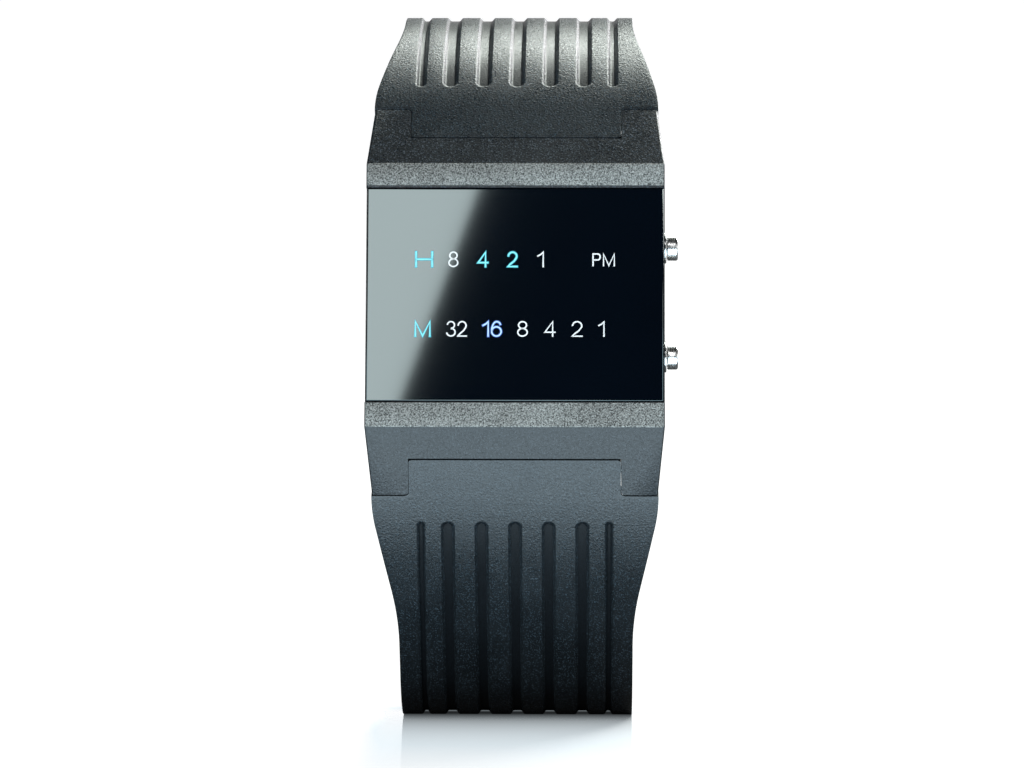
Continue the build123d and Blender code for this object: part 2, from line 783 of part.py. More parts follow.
# Strap moulding, up to the shape of its end: the curved body with its tongue, trimmed to its
# outline, with the bore for the spring bar and the grooves between the ribs
def ribbed_strap(link, face, runs, depths, end_line, grooves):
    groove_places = [
        (place - (inner_groove_count - 1) / 2) * groove_pitch for place in range(inner_groove_count)
    ]
    bends = runs[0][0] + runs[1][0]
    total = bends + runs[2][0]
    nose_reach = notch_start + nose_gap
    slant = tan(radians(shoulder_relief_angle)) * (nose_radius + overrun)
    groove_kinds = (
        (groove_places, inner_groove_width),
        ((-outer_groove_place, outer_groove_place), outer_groove_width),
    )
    with BuildPart() as strap:
        with BuildSketch(link):
            with BuildLine():
                Line((nose_reach, 0), (shoulder_reach, 0))
                follow(runs, 0, total, 0, 0)
                Line(sunk(runs, total, 0), sunk(runs, total, depths[2]))
                follow(runs, 0, runs[0][0], root_thickness, depths[0])
                follow(runs, runs[0][0], bends, depths[0], depths[1])
                follow(runs, bends, total, depths[1], depths[2])
                Line((shoulder_reach, -root_thickness), (pin_reach, -root_thickness))
                CenterArc((pin_reach, -pin_depth), nose_radius, 180, 90)
                Line((nose_reach, -pin_depth), (nose_reach, 0))
            make_face()
        extrude(amount=strap_root_width / 2, both=True)
        # Outline seen along the link's normal: the flanks run in from the shoulder to the waist
        with BuildSketch(face):
            with BuildLine():
                Line((0, 0), (strap_root_width / 2, 0))
                FilletPolyline(
                    (strap_root_width / 2, 0),
                    (strap_root_width / 2, shoulder_reach + strap_flank_start),
                    (strap_waist_width / 2, shoulder_reach + strap_flank_end),
                    (strap_waist_width / 2, cut_reach),
                    radius=(strap_flank_round, strap_waist_round),
                )
                Line((strap_waist_width / 2, cut_reach), (0, cut_reach))
                mirror(about=Plane.YZ)
            make_face()
        extrude(amount=cut_reach, both=True, mode=Mode.INTERSECT)
        # Outline seen on the straight end: the hidden part narrows towards the end
        with BuildSketch(strap_plane(link, runs, bends)):
            with BuildLine():
                Polyline((0, -cut_reach), (strap_root_width, -cut_reach), *end_line)
                mirror(about=Plane.YZ)
            make_face()
        extrude(amount=cut_reach, both=True, mode=Mode.INTERSECT)
        # Shoulders beside the tongue, with a rounded inner corner
        corner_round = horn_corner_round + tongue_side_gap
        with BuildSketch(face):
            with BuildLine():
                Line((strap_root_width, shoulder_reach), (strap_root_width, 0))
                FilletPolyline(
                    (strap_root_width, 0),
                    (tongue_width / 2, 0),
                    (tongue_width / 2, shoulder_reach),
                    (strap_root_width, shoulder_reach),
                    radius=(0, corner_round),
                )
            make_face()
            mirror(about=Plane.YZ)
        extrude(amount=root_thickness + overrun, both=True, mode=Mode.SUBTRACT)
        # They are cut back below the pin, so that the strap can swing in
        for side in (-1, 1):
            with BuildSketch(link.offset(side * tongue_width / 2)):
                with BuildLine():
                    Polyline(
                        (0, overrun),
                        (shoulder_reach, overrun),
                        (shoulder_reach, -pin_depth),
                        (shoulder_reach + slant, -root_thickness - overrun),
                        (0, -root_thickness - overrun),
                        close=True,
                    )
                make_face()
            extrude(amount=side * case_width / 2, mode=Mode.SUBTRACT)
        with BuildSketch(link):
            with Locations((pin_reach, -pin_depth)):
                Circle(bar_radius + bar_fit)
        extrude(amount=case_width / 2, both=True, mode=Mode.SUBTRACT)
        # Grooves with round ends
        for places, width in groove_kinds:
            with BuildSketch(*[link.offset(place) for place in places]):
                with BuildLine():
                    follow(runs, grooves[0], grooves[1], -overrun, -overrun)
                    follow(runs, grooves[0], grooves[1], groove_depth, groove_depth)
                    for along in grooves:
                        Line(sunk(runs, along, -overrun), sunk(runs, along, groove_depth))
                make_face()
            extrude(amount=width / 2, both=True, mode=Mode.SUBTRACT)
            for along in grooves:
                with BuildSketch(strap_plane(link, runs, along, groove_depth)):
                    with Locations([(place, 0) for place in places]):
                        Circle(width / 2)
                extrude(amount=groove_depth + overrun, mode=Mode.SUBTRACT)
    return strap


upper_end_line = (
    (strap_root_width, -rear_taper_before),
    (strap_waist_width / 2, -rear_taper_before),
    (strap_end_width / 2, rear_taper_after),
    (strap_end_width / 2, rear_straight + eyelet_radius + overrun),
    (0, rear_straight + eyelet_radius + overrun),
)
upper_depths = (strap_thickness, rear_strap_thickness, rear_strap_thickness)
upper_total = upper_bends + rear_straight
buckle_pin_depth = rear_strap_thickness / 2
buckle_pin = strap_plane(upper_link, upper_runs, upper_total, buckle_pin_depth)
buckle_side = Plane(origin=buckle_pin.origin, x_dir=(0, 0, -1), z_dir=(1, 0, 0))
buckle_face = Plane(origin=buckle_pin.origin, x_dir=(1, 0, 0), z_dir=(0, 1, 0))
with BuildPart() as upper_strap:
    add(
        ribbed_strap(
            upper_link,
            upper_face,
            upper_runs,
            upper_depths,
            upper_end_line,
            (upper_groove_start, upper_groove_end),
        ).part
    )
    # The end is rolled round the buckle's spring bar, with a slot for the buckle's tongue
    with BuildSketch(buckle_side):
        Circle(eyelet_radius)
    extrude(amount=strap_end_width / 2, both=True)
    with BuildSketch(buckle_side):
        Circle(bar_radius + bar_fit)
    extrude(amount=strap_end_width / 2, both=True, mode=Mode.SUBTRACT)
    with BuildSketch(buckle_pin):
        with Locations((0, (eyelet_radius + overrun - tongue_slot_length) / 2)):
            Rectangle(tongue_slot_width, eyelet_radius + overrun + tongue_slot_length)
    extrude(amount=eyelet_radius + overrun, both=True, mode=Mode.SUBTRACT)

tail_straight_side = tail_length - strap_end_width / 2
with BuildPart() as lower_strap:
    add(
        ribbed_strap(
            lower_link,
            lower_face,
            lower_runs,
            (strap_thickness, strap_thickness, tail_thickness),
            (
                (strap_root_width, 0),
                (strap_waist_width / 2, 0),
                (strap_end_width / 2, tail_taper_length),
                (strap_end_width / 2, tail_length + overrun),
                (0, tail_length + overrun),
            ),
            (lower_groove_start, lower_bends + lower_groove_end_on_tail),
        ).part
    )
    # Round tip, and the row of adjusting holes
    with BuildSketch(strap_plane(lower_link, lower_runs, lower_bends)):
        with Locations((0, tail_straight_side + strap_end_width / 2)):
            Rectangle(strap_end_width + overrun, strap_end_width)
        with Locations((0, tail_straight_side)):
            Circle(strap_end_width / 2, mode=Mode.SUBTRACT)
        for place in range(hole_count):
            with Locations((0, tail_length - last_hole_to_tip - place * hole_pitch)):
                SlotOverall(hole_length, hole_width)
    extrude(amount=-(tail_thickness + strap_thickness), mode=Mode.SUBTRACT)

upper_bar_tube, upper_bar_tips = spring_bar(
    Plane(upper_link.from_local_coords((pin_reach, -pin_depth, 0)), (0, 1, 0), (1, 0, 0)),
    notch_width,
    bar_tip_reach,
)
lower_bar_tube, lower_bar_tips = spring_bar(
    Plane(lower_link.from_local_coords((pin_reach, -pin_depth, 0)), (0, 1, 0), (1, 0, 0)),
    notch_width,
    bar_tip_reach,
)


# Keeper: a band round the strap, with room on the outer side for the strap's free end
def keeper(along, length, fit):
    origin = strap_plane(upper_link, upper_runs, along).origin
    forward = strap_plane(upper_link, upper_runs, along).y_dir
    room_width = strap_end_width + 2 * fit
    room_height = rear_strap_thickness + keeper_tail_room + fit
    shift = (rear_strap_thickness + fit - keeper_tail_room) / 2
    with BuildPart() as band:
        with BuildSketch(Plane(origin=origin, x_dir=(1, 0, 0), z_dir=forward)):
            with Locations((0, shift)):
                RectangleRounded(
                    room_width + 2 * keeper_wall, room_height + 2 * keeper_wall, keeper_corner
                )
                Rectangle(room_width, room_height, mode=Mode.SUBTRACT)
        extrude(amount=length / 2, both=True)
    return band


fixed_keeper_place = upper_total - fixed_keeper_from_pin
free_keeper_place = fixed_keeper_place - free_keeper_gap
free_keeper_place -= (fixed_keeper_length + free_keeper_length) / 2
fixed_keeper = keeper(fixed_keeper_place, fixed_keeper_length, 0)
free_keeper = keeper(free_keeper_place, free_keeper_length, free_keeper_fit)

# Buckle frame: two arms beside the strap's end and a cross bar, hanging from its spring bar
window_width = strap_end_width + 2 * buckle_side_gap
window_end = buckle_length - buckle_bar_depth
frame_middle = (buckle_length - buckle_heel) / 2
with BuildPart() as buckle_frame:
    with BuildSketch(buckle_face):
        with Locations((0, frame_middle)):
            Rectangle(window_width + 2 * buckle_arm_width, buckle_length + buckle_heel)
        with Locations((0, window_end / 2 - overrun)):
            Rectangle(window_width, window_end + 2 * overrun, mode=Mode.SUBTRACT)
    extrude(amount=buckle_thickness / 2, both=True)
    corner_edges = buckle_frame.edges().filter_by(Axis.Y).group_by(Axis.Z)[0]
    fillet(corner_edges, radius=buckle_corner)
    rim_edges = buckle_frame.faces().filter_by(Axis.Y).edges()
    fillet(rim_edges, radius=buckle_edge_round)
    with BuildSketch(buckle_side):
        Circle(bar_tip_radius + bar_tip_fit)
    extrude(amount=window_width / 2 + bar_tip_reach, both=True, mode=Mode.SUBTRACT)
    with BuildSketch(buckle_face.offset(buckle_thickness / 2 - buckle_notch_depth)):
        with Locations((0, buckle_length)):
            Rectangle(buckle_notch_width, 2 * buckle_bar_depth + overrun)
    extrude(amount=buckle_notch_depth + overrun, mode=Mode.SUBTRACT)

prong_level = buckle_thickness / 2 - buckle_notch_depth + prong_gap
prong_length = buckle_length - prong_end_inset
with BuildPart() as buckle_tongue:
    with BuildSketch(buckle_side):
        Circle(prong_ring_radius)
    extrude(amount=prong_ring_width / 2, both=True)
    with BuildSketch(buckle_face.offset(prong_level)):
        with Locations((0, prong_length / 2)):
            Rectangle(prong_width, prong_length)
    extrude(amount=prong_thickness)
    tip_edges = buckle_tongue.edges().filter_by(Axis.Y).group_by(Axis.Z)[0]
    fillet(tip_edges, radius=prong_width / 2 - buckle_edge_round)
    with BuildSketch(buckle_side):
        Circle(bar_radius + bar_fit)
    extrude(amount=prong_ring_width, both=True, mode=Mode.SUBTRACT)

buckle_bar_tube, buckle_bar_tips = spring_bar(
    Plane(buckle_pin.origin, (0, 1, 0), (1, 0, 0)), window_width, bar_tip_reach - bar_end_gap
)

pieces = {
    "case_body": case_body,
    "mirror_glass": mirror_glass,
    "glass_tape": glass_tape,
    "legend_film": legend_film,
    "display_mask": display_mask,
    "light_chips": light_chips,
    "circuit_board": circuit_board,
    "control_chip": control_chip,
    "clock_crystal": clock_crystal,
    "chip_resistors": chip_resistors,
    "movement_frame": movement_frame,
    "board_screws": board_screws,
    "cell_contact": cell_contact,
    "cell_clip": cell_clip,
    "case_back": case_back,
    "back_gasket": back_gasket,
    "back_screws": back_screws,
    "upper_strap": upper_strap,
    "lower_strap": lower_strap,
    "upper_bar_tube": upper_bar_tube,
    "upper_bar_tips": upper_bar_tips,
    "lower_bar_tube": lower_bar_tube,
    "lower_bar_tips": lower_bar_tips,
    "fixed_keeper": fixed_keeper,
    "free_keeper": free_keeper,
    "buckle_frame": buckle_frame,
    "buckle_tongue": buckle_tongue,
    "buckle_bar_tube": buckle_bar_tube,
    "buckle_bar_tips": buckle_bar_tips,
    **cells,
    **buttons,
}
os.makedirs("parts", exist_ok=True)
for name, piece in pieces.items():
    piece.part.label = name
    export_step(piece.part, f"parts/{name}.step")

print("dial centre", dial_centre)
print("upper strap length", round(upper_total, 2))
print("lower strap length", round(lower_bends + tail_length, 2))
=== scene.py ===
import bpy
import bmesh
import json
from math import ceil, cos, pi, radians, sin, sqrt, tan
from mathutils import Matrix, Vector


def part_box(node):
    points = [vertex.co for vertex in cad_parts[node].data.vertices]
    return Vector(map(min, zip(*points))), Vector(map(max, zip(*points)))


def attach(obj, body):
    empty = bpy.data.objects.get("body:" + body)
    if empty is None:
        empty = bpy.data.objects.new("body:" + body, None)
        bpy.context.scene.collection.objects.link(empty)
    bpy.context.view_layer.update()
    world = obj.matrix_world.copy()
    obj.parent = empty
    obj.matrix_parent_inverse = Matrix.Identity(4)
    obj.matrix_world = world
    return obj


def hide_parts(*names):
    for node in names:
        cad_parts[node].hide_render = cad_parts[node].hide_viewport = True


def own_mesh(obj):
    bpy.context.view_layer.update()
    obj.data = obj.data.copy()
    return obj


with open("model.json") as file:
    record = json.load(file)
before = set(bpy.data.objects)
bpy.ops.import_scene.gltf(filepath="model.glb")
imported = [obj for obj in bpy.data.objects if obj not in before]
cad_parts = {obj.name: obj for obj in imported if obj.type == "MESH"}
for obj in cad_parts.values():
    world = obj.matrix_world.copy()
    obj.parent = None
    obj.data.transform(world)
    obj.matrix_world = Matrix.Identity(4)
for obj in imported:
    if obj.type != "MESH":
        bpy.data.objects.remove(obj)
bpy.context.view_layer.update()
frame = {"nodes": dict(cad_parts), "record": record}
nodes = frame["nodes"]
scene = bpy.context.scene
scene.view_settings.view_transform = "Standard"
mm = 0.001
print("frame loaded,", len(nodes), "nodes")

# Where the watch stands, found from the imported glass
stance = {"lean": 14.0, "linkAngle": 31.5, "faceHeight": 32.0}
lean, linkAngle = radians(stance["lean"]), radians(stance["linkAngle"])
across = Vector((1, 0, 0))
dialUp = Vector((0, sin(lean), cos(lean)))
dialOut = Vector((0, -cos(lean), sin(lean)))
glassLow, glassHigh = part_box("mirror_glass")
glassFace = max(spot.co.dot(dialOut) for spot in nodes["mirror_glass"].data.vertices)
dialCentre = (glassLow + glassHigh) / 2
dialCentre += dialOut * (glassFace - dialCentre.dot(dialOut))


def dialPoint(x, up, out=0.0):
    return dialCentre + (across * x + dialUp * up + dialOut * out) * mm


# Camera: a long lens, a little above the watch, square to the glass
shot = {
    "elevation": 5.0, "azimuth": 1.0, "distance": 550.0, "lens": 161.0, "sensor": 36.0,
    "glassInFrame": (515.0, 294.5), "frameSize": (1024, 768),
}


def makeCamera():
    tilt, turn = radians(shot["elevation"]), radians(shot["azimuth"])
    forward = Vector((-sin(turn) * cos(tilt), cos(turn) * cos(tilt), -sin(tilt)))
    right = Vector((cos(turn), sin(turn), 0))
    up = right.cross(forward)
    pixels = shot["lens"] / shot["sensor"] * shot["frameSize"][0]
    shiftX = (shot["glassInFrame"][0] - shot["frameSize"][0] / 2) / pixels
    shiftY = (shot["frameSize"][1] / 2 - shot["glassInFrame"][1]) / pixels
    data = bpy.data.cameras.new("camera")
    data.lens, data.sensor_width = shot["lens"], shot["sensor"]
    data.clip_start, data.clip_end = 0.01, 20
    camera = bpy.data.objects.new("camera", data)
    turned = Matrix((right, up, -forward)).transposed().to_4x4()
    place = dialCentre - (forward + right * shiftX + up * shiftY) * shot["distance"] * mm
    camera.matrix_world = Matrix.Translation(place) @ turned
    scene.collection.objects.link(camera)
    scene.camera = camera


makeCamera()
print("camera placed")


# Small helpers for node trees
def addNode(tree, kind, sockets=(), **settings):
    node = tree.nodes.new(kind)
    for key, value in settings.items():
        setattr(node, key, value)
    for key, value in dict(sockets).items():
        feed(tree, node.inputs[key], value)
    return node


def feed(tree, socket, value):
    if hasattr(value, "is_output"):
        tree.links.new(value, socket)
    else:
        socket.default_value = value


def calc(tree, operation, *values, clamp=False):
    return addNode(tree, "ShaderNodeMath", enumerate(values), operation=operation, use_clamp=clamp).outputs[0]


def plus(tree, first, second):
    return calc(tree, "ADD", first, second)


def minus(tree, first, second):
    return calc(tree, "SUBTRACT", first, second)


def times(tree, product, *factors):
    for factor in factors:
        product = calc(tree, "MULTIPLY", product, factor)
    return product


def blend(tree, share, low, high):
    return plus(tree, times(tree, share, high - low), low)


def scaled(tree, vector, factor):
    sockets = {0: vector, "Scale": factor}
    return addNode(tree, "ShaderNodeVectorMath", sockets, operation="SCALE").outputs["Vector"]


def measured(tree, operation, *vectors):
    return addNode(tree, "ShaderNodeVectorMath", enumerate(vectors), operation=operation).outputs["Value"]


def ramp(tree, value, low, high, start=0.0, end=1.0, soft=False):
    sockets = {"Value": value, "From Min": low, "From Max": high, "To Min": start, "To Max": end}
    kind = "SMOOTHSTEP" if soft else "LINEAR"
    return addNode(tree, "ShaderNodeMapRange", sockets, interpolation_type=kind).outputs["Result"]


def noise(tree, vector, scale, detail=2.0):
    sockets = {"Vector": vector, "Scale": scale, "Detail": detail}
    return addNode(tree, "ShaderNodeTexNoise", sockets).outputs["Fac"]


def mixed(tree, kind, factor, first, second):
    slot = ("FLOAT", "VECTOR", "RGBA").index(kind)
    sockets = {0: factor, 2 * slot + 2: first, 2 * slot + 3: second}
    return addNode(tree, "ShaderNodeMix", sockets, data_type=kind).outputs[slot]


def newTree(name, kind, inputs, outputs):
    tree = bpy.data.node_groups.new(name, kind)
    for label, socketKind, *default in inputs:
        socket = tree.interface.new_socket(label, in_out="INPUT", socket_type="NodeSocket" + socketKind)
        if default:
            socket.default_value = default[0]
    for label, socketKind in outputs:
        tree.interface.new_socket(label, in_out="OUTPUT", socket_type="NodeSocket" + socketKind)
    return tree, addNode(tree, "NodeGroupInput").outputs, addNode(tree, "NodeGroupOutput").inputs


# Plain noise over the glass, the inks and the paper: scale, strength and least shade
clouds = {"glass": (60.0, 0.6, 0.7), "ink": (2200.0, 0.3, 0.85), "paper": (900.0, 0.02, 0.99)}


def cloudy(tree, place, kind):
    scale, strength, least = clouds[kind]
    return plus(tree, times(tree, noise(tree, place, scale), strength), least)


# Moulded plastic and rubber: fine grain, soft clouds, small pits and bright flecks, the flecks partly dust and partly
# painted glints
mouldMix = {
    "fineDetail": 1.2, "clouds": (170.0, 3.0), "pitScale": 0.75, "pitDepth": 0.6,
    "fleckScale": 1.3, "fleckFrom": (0.62, 0.7), "fineShade": 2.0, "cloudShade": 0.5,
    "darkest": 0.15, "fineGloss": -0.5, "cloudGloss": 0.15,
}


def makeMouldGrain():
    mix = mouldMix
    tree, ins, outs = newTree(
        "mouldGrain", "ShaderNodeTree",
        [("Vector", "Vector"), ("Grain Size", "Float", 0.28),
         ("Grain Contrast", "Float", 1.0), ("Fleck", "Float", 0.0)],
        [("Height", "Float"), ("Shade", "Float"), ("Gloss", "Float")])
    place, contrast = ins["Vector"], ins["Grain Contrast"]
    scale = calc(tree, "DIVIDE", 1000.0, ins["Grain Size"])
    grain, cloud = noise(tree, place, scale, mix["fineDetail"]), noise(tree, place, *mix["clouds"])
    pitSockets = {"Vector": place, "Scale": times(tree, scale, mix["pitScale"])}
    pits = addNode(tree, "ShaderNodeTexVoronoi", pitSockets, feature="F1").outputs["Distance"]
    height = plus(tree, grain, times(tree, pits, mix["pitDepth"]))
    feed(tree, outs["Height"], times(tree, height, contrast))
    fine = times(tree, minus(tree, grain, 0.5), contrast)
    patch = times(tree, minus(tree, cloud, 0.5), contrast)
    # Bright flecks in the colour: partly dust, partly painted glints
    spots = noise(tree, place, times(tree, scale, mix["fleckScale"]), 0.0)
    flecks = times(tree, ramp(tree, spots, *mix["fleckFrom"], soft=True), ins["Fleck"])
    shade = plus(tree, times(tree, fine, mix["fineShade"]), times(tree, patch, mix["cloudShade"]))
    shade = plus(tree, plus(tree, shade, flecks), 1.0)
    feed(tree, outs["Shade"], calc(tree, "MAXIMUM", shade, mix["darkest"]))
    feed(tree, outs["Gloss"], plus(tree, times(tree, fine, mix["fineGloss"]), times(tree, patch, mix["cloudGloss"])))
    return tree


# Drawn or turned metal: stretched lines over wider worn patches
drawnMix = {
    "lineDetail": 3.0, "worn": (420.0, 4.0), "lineGloss": 0.5, "wornGloss": 0.07, "lineShade": 0.25,
}


def makeDrawnLines():
    mix = drawnMix
    tree, ins, outs = newTree(
        "drawnLines", "ShaderNodeTree",
        [("Vector", "Vector"), ("Stretch", "Vector", (1.0, 1.0, 1.0)),
         ("Line Size", "Float", 0.05)],
        [("Height", "Float"), ("Gloss", "Float"), ("Shade", "Float")])
    longer = addNode(tree, "ShaderNodeMapping", {"Vector": ins["Vector"], "Scale": ins["Stretch"]}).outputs[0]
    lines = noise(tree, longer, calc(tree, "DIVIDE", 1000.0, ins["Line Size"]), mix["lineDetail"])
    centred = minus(tree, lines, 0.5)
    worn = minus(tree, noise(tree, ins["Vector"], *mix["worn"]), 0.5)
    feed(tree, outs["Height"], lines)
    feed(tree, outs["Gloss"], plus(tree, times(tree, centred, mix["lineGloss"]), times(tree, worn, mix["wornGloss"])))
    feed(tree, outs["Shade"], plus(tree, times(tree, centred, mix["lineShade"]), 1.0))
    return tree


mouldGrain, drawnLines = makeMouldGrain(), makeDrawnLines()


def startMaterial(name, **fixed):
    material = bpy.data.materials.new(name)
    material.use_nodes = True
    tree = material.node_tree
    shader = tree.nodes["Principled BSDF"]
    for socket, value in fixed.items():
        shader.inputs[socket.replace("_", " ")].default_value = value
    place = addNode(tree, "ShaderNodeTexCoord").outputs["Object"]
    return material, tree, shader, place


def finishSurface(tree, shader, group, sockets, colour, roughness, depth):
    effect = addNode(tree, "ShaderNodeGroup", sockets, node_tree=group).outputs
    bump = addNode(tree, "ShaderNodeBump", {"Distance": depth * mm, "Height": effect["Height"]})
    feed(tree, shader.inputs["Base Color"], scaled(tree, colour, effect["Shade"]))
    feed(tree, shader.inputs["Roughness"], calc(tree, "ADD", effect["Gloss"], roughness, clamp=True))
    feed(tree, shader.inputs["Normal"], bump.outputs[0])


# Straps and case are grainier towards the top and the foot of the watch than at its middle; the brighter flecks and
# speckle there are painted glints of the light grazing those parts
grainAndGlintRise = {"middle": 0.040, "contrast": (0.8, 8.0), "fleck": (0.4, 70.0)}


def risen(tree, place, kind, amount):
    z = addNode(tree, "ShaderNodeSeparateXYZ", {0: place}).outputs["Z"]
    away = calc(tree, "ABSOLUTE", minus(tree, z, grainAndGlintRise["middle"]))
    least, gain = grainAndGlintRise[kind]
    return times(tree, plus(tree, times(tree, away, gain), least), amount)


def moulded(name, colour, roughness, size, contrast, depth, fleck=0.0, **fixed):
    material, tree, shader, place = startMaterial(name, **fixed)
    if fleck:
        contrast, fleck = risen(tree, place, "contrast", contrast), risen(tree, place, "fleck", fleck)
    sockets = {"Vector": place, "Grain Size": size, "Grain Contrast": contrast, "Fleck": fleck}
    finishSurface(tree, shader, mouldGrain, sockets, colour, roughness, depth)
    return material


def drawn(name, colour, roughness, stretch, size, depth):
    material, tree, shader, place = startMaterial(name, Metallic=1.0)
    sockets = {"Vector": place, "Stretch": stretch, "Line Size": size}
    finishSurface(tree, shader, drawnLines, sockets, colour, roughness, depth)
    return material


# The two bars beside the glass are spark-eroded coarser than the rest of the case, and much lighter in colour:
# painted sheen of the front light they face
caseFinish = {
    "colour": (0.0087, 0.0108, 0.0128), "roughness": 0.36, "size": 0.22, "depth": 0.034, "fleck": 2.2,
    "barSize": 0.17, "barContrast": 2.3,
    "litBarColour": (0.124, 0.127, 0.12), "barRoughness": 0.5, "barEdge": -0.06, "barsFrom": (13.38, -13.15),
}


def makeCaseMaterial():
    look = caseFinish
    material, tree, shader, place = startMaterial("casePlastic", IOR=1.44)
    out = measured(tree, "DOT_PRODUCT", place, tuple(dialOut))
    up = measured(tree, "DOT_PRODUCT", place, tuple(dialUp))
    height = minus(tree, out, dialCentre.dot(dialOut) + look["barEdge"] * mm)
    high, low = [dialCentre.dot(dialUp) + edge * mm for edge in look["barsFrom"]]
    beyond = plus(tree, calc(tree, "GREATER_THAN", up, high), calc(tree, "LESS_THAN", up, low))
    mask = times(tree, calc(tree, "GREATER_THAN", height, 0.0), beyond)
    barGrain = times(tree, mask, look["barContrast"])
    sockets = {
        "Vector": place, "Grain Size": blend(tree, mask, look["size"], look["barSize"]),
        "Grain Contrast": calc(tree, "MAXIMUM", risen(tree, place, "contrast", 1.0), barGrain),
        "Fleck": times(tree, minus(tree, 1.0, mask), risen(tree, place, "fleck", look["fleck"])),
    }
    # The bars' much lighter colour is painted sheen of the front light
    colour = mixed(tree, "VECTOR", mask, look["colour"], look["litBarColour"])
    roughness = blend(tree, mask, look["roughness"], look["barRoughness"])
    finishSurface(tree, shader, mouldGrain, sockets, colour, roughness, look["depth"])
    return material


def makeGlassMaterial():
    material, tree, shader, place = startMaterial(
        "mirrorGlass", Roughness=0.035, IOR=1.74, Specular_Tint=(0.83, 1.0, 1.01, 1.0))
    colour = scaled(tree, (0.0007, 0.0016, 0.0032), cloudy(tree, place, "glass"))
    feed(tree, shader.inputs["Base Color"], colour)
    return material


finishes = {
    "case_plastic": makeCaseMaterial(), "mirror_glass": makeGlassMaterial(),
    "strap_rubber": moulded("strapRubber", (0.0072, 0.0105, 0.0132), 0.36, 0.2, 1.1, 0.028, 1.8, IOR=1.5),
    "black_tape": moulded("blackTape", (0.012, 0.012, 0.012), 0.8, 0.4, 0.8, 0.02),
    "legend_film": moulded("legendFilm", (0.02, 0.02, 0.02), 0.35, 0.6, 0.5, 0.005),
    "mask_plastic": moulded("maskPlastic", (0.025, 0.025, 0.027), 0.5, 0.3, 1.0, 0.02),
    "light_chip": moulded("lightChip", (0.72, 0.8, 0.82), 0.3, 0.2, 0.1, 0.005),
    "circuit_board": moulded("circuitBoard", (0.02, 0.12, 0.045), 0.38, 0.5, 0.4, 0.01),
    "chip_plastic": moulded("chipPlastic", (0.022, 0.022, 0.024), 0.55, 0.15, 0.8, 0.01),
    "gasket_rubber": moulded("gasketRubber", (0.015, 0.015, 0.016), 0.7, 0.3, 0.8, 0.01),
    "cell_can": drawn("cellCan", (0.62, 0.62, 0.6), 0.3, (1, 0.05, 1), 0.1, 0.004),
    "brushed_steel": drawn("brushedSteel", (0.56, 0.56, 0.55), 0.32, (0.03, 1, 1), 0.16, 0.008),
    "bright_steel": drawn("brightSteel", (0.62, 0.62, 0.61), 0.22, (0.1, 1, 1), 0.08, 0.003),
    "polished_steel": drawn("polishedSteel", (0.8, 0.8, 0.79), 0.27, (1, 0.2, 0.2), 0.12, 0.002),
}
# The groove floors get a darker colour, painted shade in the grooves, with less grain, and less sheen low down
upperShadedFloors = moulded("upperGrooveShadeRubber", (0.007, 0.009, 0.011), 0.36, 0.2, 0.8, 0.018, IOR=1.46)
lowerShadedFloors = moulded("lowerGrooveShadeRubber", (0.006, 0.008, 0.01), 0.4, 0.2, 0.7, 0.015, IOR=1.26)
slotOf = {part["node"]: part["material_slot"] for part in frame["record"]["subparts"]}
for name, node in nodes.items():
    node.data.materials.clear()
    node.data.materials.append(finishes[slotOf[name]])
print("finishes made:", len(finishes))


def makePiece(name, mesh, *materials):
    data = bpy.data.meshes.new(name)
    mesh.to_mesh(data)
    mesh.free()
    for material in materials:
        data.materials.append(material)
    piece = bpy.data.objects.new(name, data)
    scene.collection.objects.link(piece)
    return piece


# Straps: a lofted body, grooves from a geometry tree, then soft edges and bores
strapShape = {
    "shoulder": 9.15, "rootThickness": 4.45, "noseReach": 4.45, "noseRadius": 2.15,
    "pinReach": 6.6, "pinDepth": 2.3, "boreRadius": 0.96, "tongueWidth": 25.5,
    "noseCorner": 0.35, "shoulderCorner": 0.55, "rootWidth": 34.6, "waistWidth": 28.6,
    "endWidth": 24.0, "flankStart": 2.2, "flankEnd": 16.8, "flankRound": 20.0, "waistRound": 40.0,
    "edgeRound": 0.32, "tongueEdge": 0.09, "crease": 50.0, "rim": 0.35,
    "sideGrooves": 2, "grooveLip": 0.08, "floorShare": 0.8,
}
# Spacing of the mesh lines along the strap, and how far they reach past the grooves
strapSteps = {
    "nose": 0.09, "tongue": 0.16, "neck": 0.4, "corner": 0.1, "plain": 0.5, "fine": 0.11, "coarse": 0.6,
    "tail": 1.2, "toSlot": 0.7, "slot": 0.4, "ribMargin": 0.3, "ribOverlap": 0.4, "laneMargin": 0.14,
    "outerMargin": 0.12,
}
upperShape = {
    "side": 1, "bends": ((38.0, 44.0), (24.0, 70.0)), "straight": 27.0, "depths": (3.0, 2.8, 2.8),
    "ribs": (5.0, 43.0), "taper": (-12.0, 3.0), "eyelet": 2.0, "slotWidth": 4.0, "slotLength": 3.4,
    "grooves": {"Groove Depth": 0.44, "Groove Pitch": 4.09, "Groove Width": 1.88,
                "Outer Place": 11.76, "Outer Width": 1.24, "Wall": 0.46},
}
lowerShape = {
    "side": -1, "bends": ((100.0, 15.0), (13.5, 57.5)), "straight": 78.0, "depths": (3.0, 3.0, 2.4),
    "ribs": (4.3, None), "ribsOnTail": 9.0, "taper": (0.0, 40.0),
    "grooves": {"Groove Depth": 0.48, "Groove Pitch": 4.06, "Groove Width": 1.64,
                "Outer Place": 11.36, "Outer Width": 0.98, "Wall": 0.36},
    "holes": {"count": 9, "pitch": 6.0, "length": 3.2, "width": 2.2, "fromTip": 12.0},
}


def stretch(start, end, step):
    parts = max(1, ceil((end - start) / step - 1e-9))
    return [start + (end - start) * i / parts for i in range(parts + 1)]


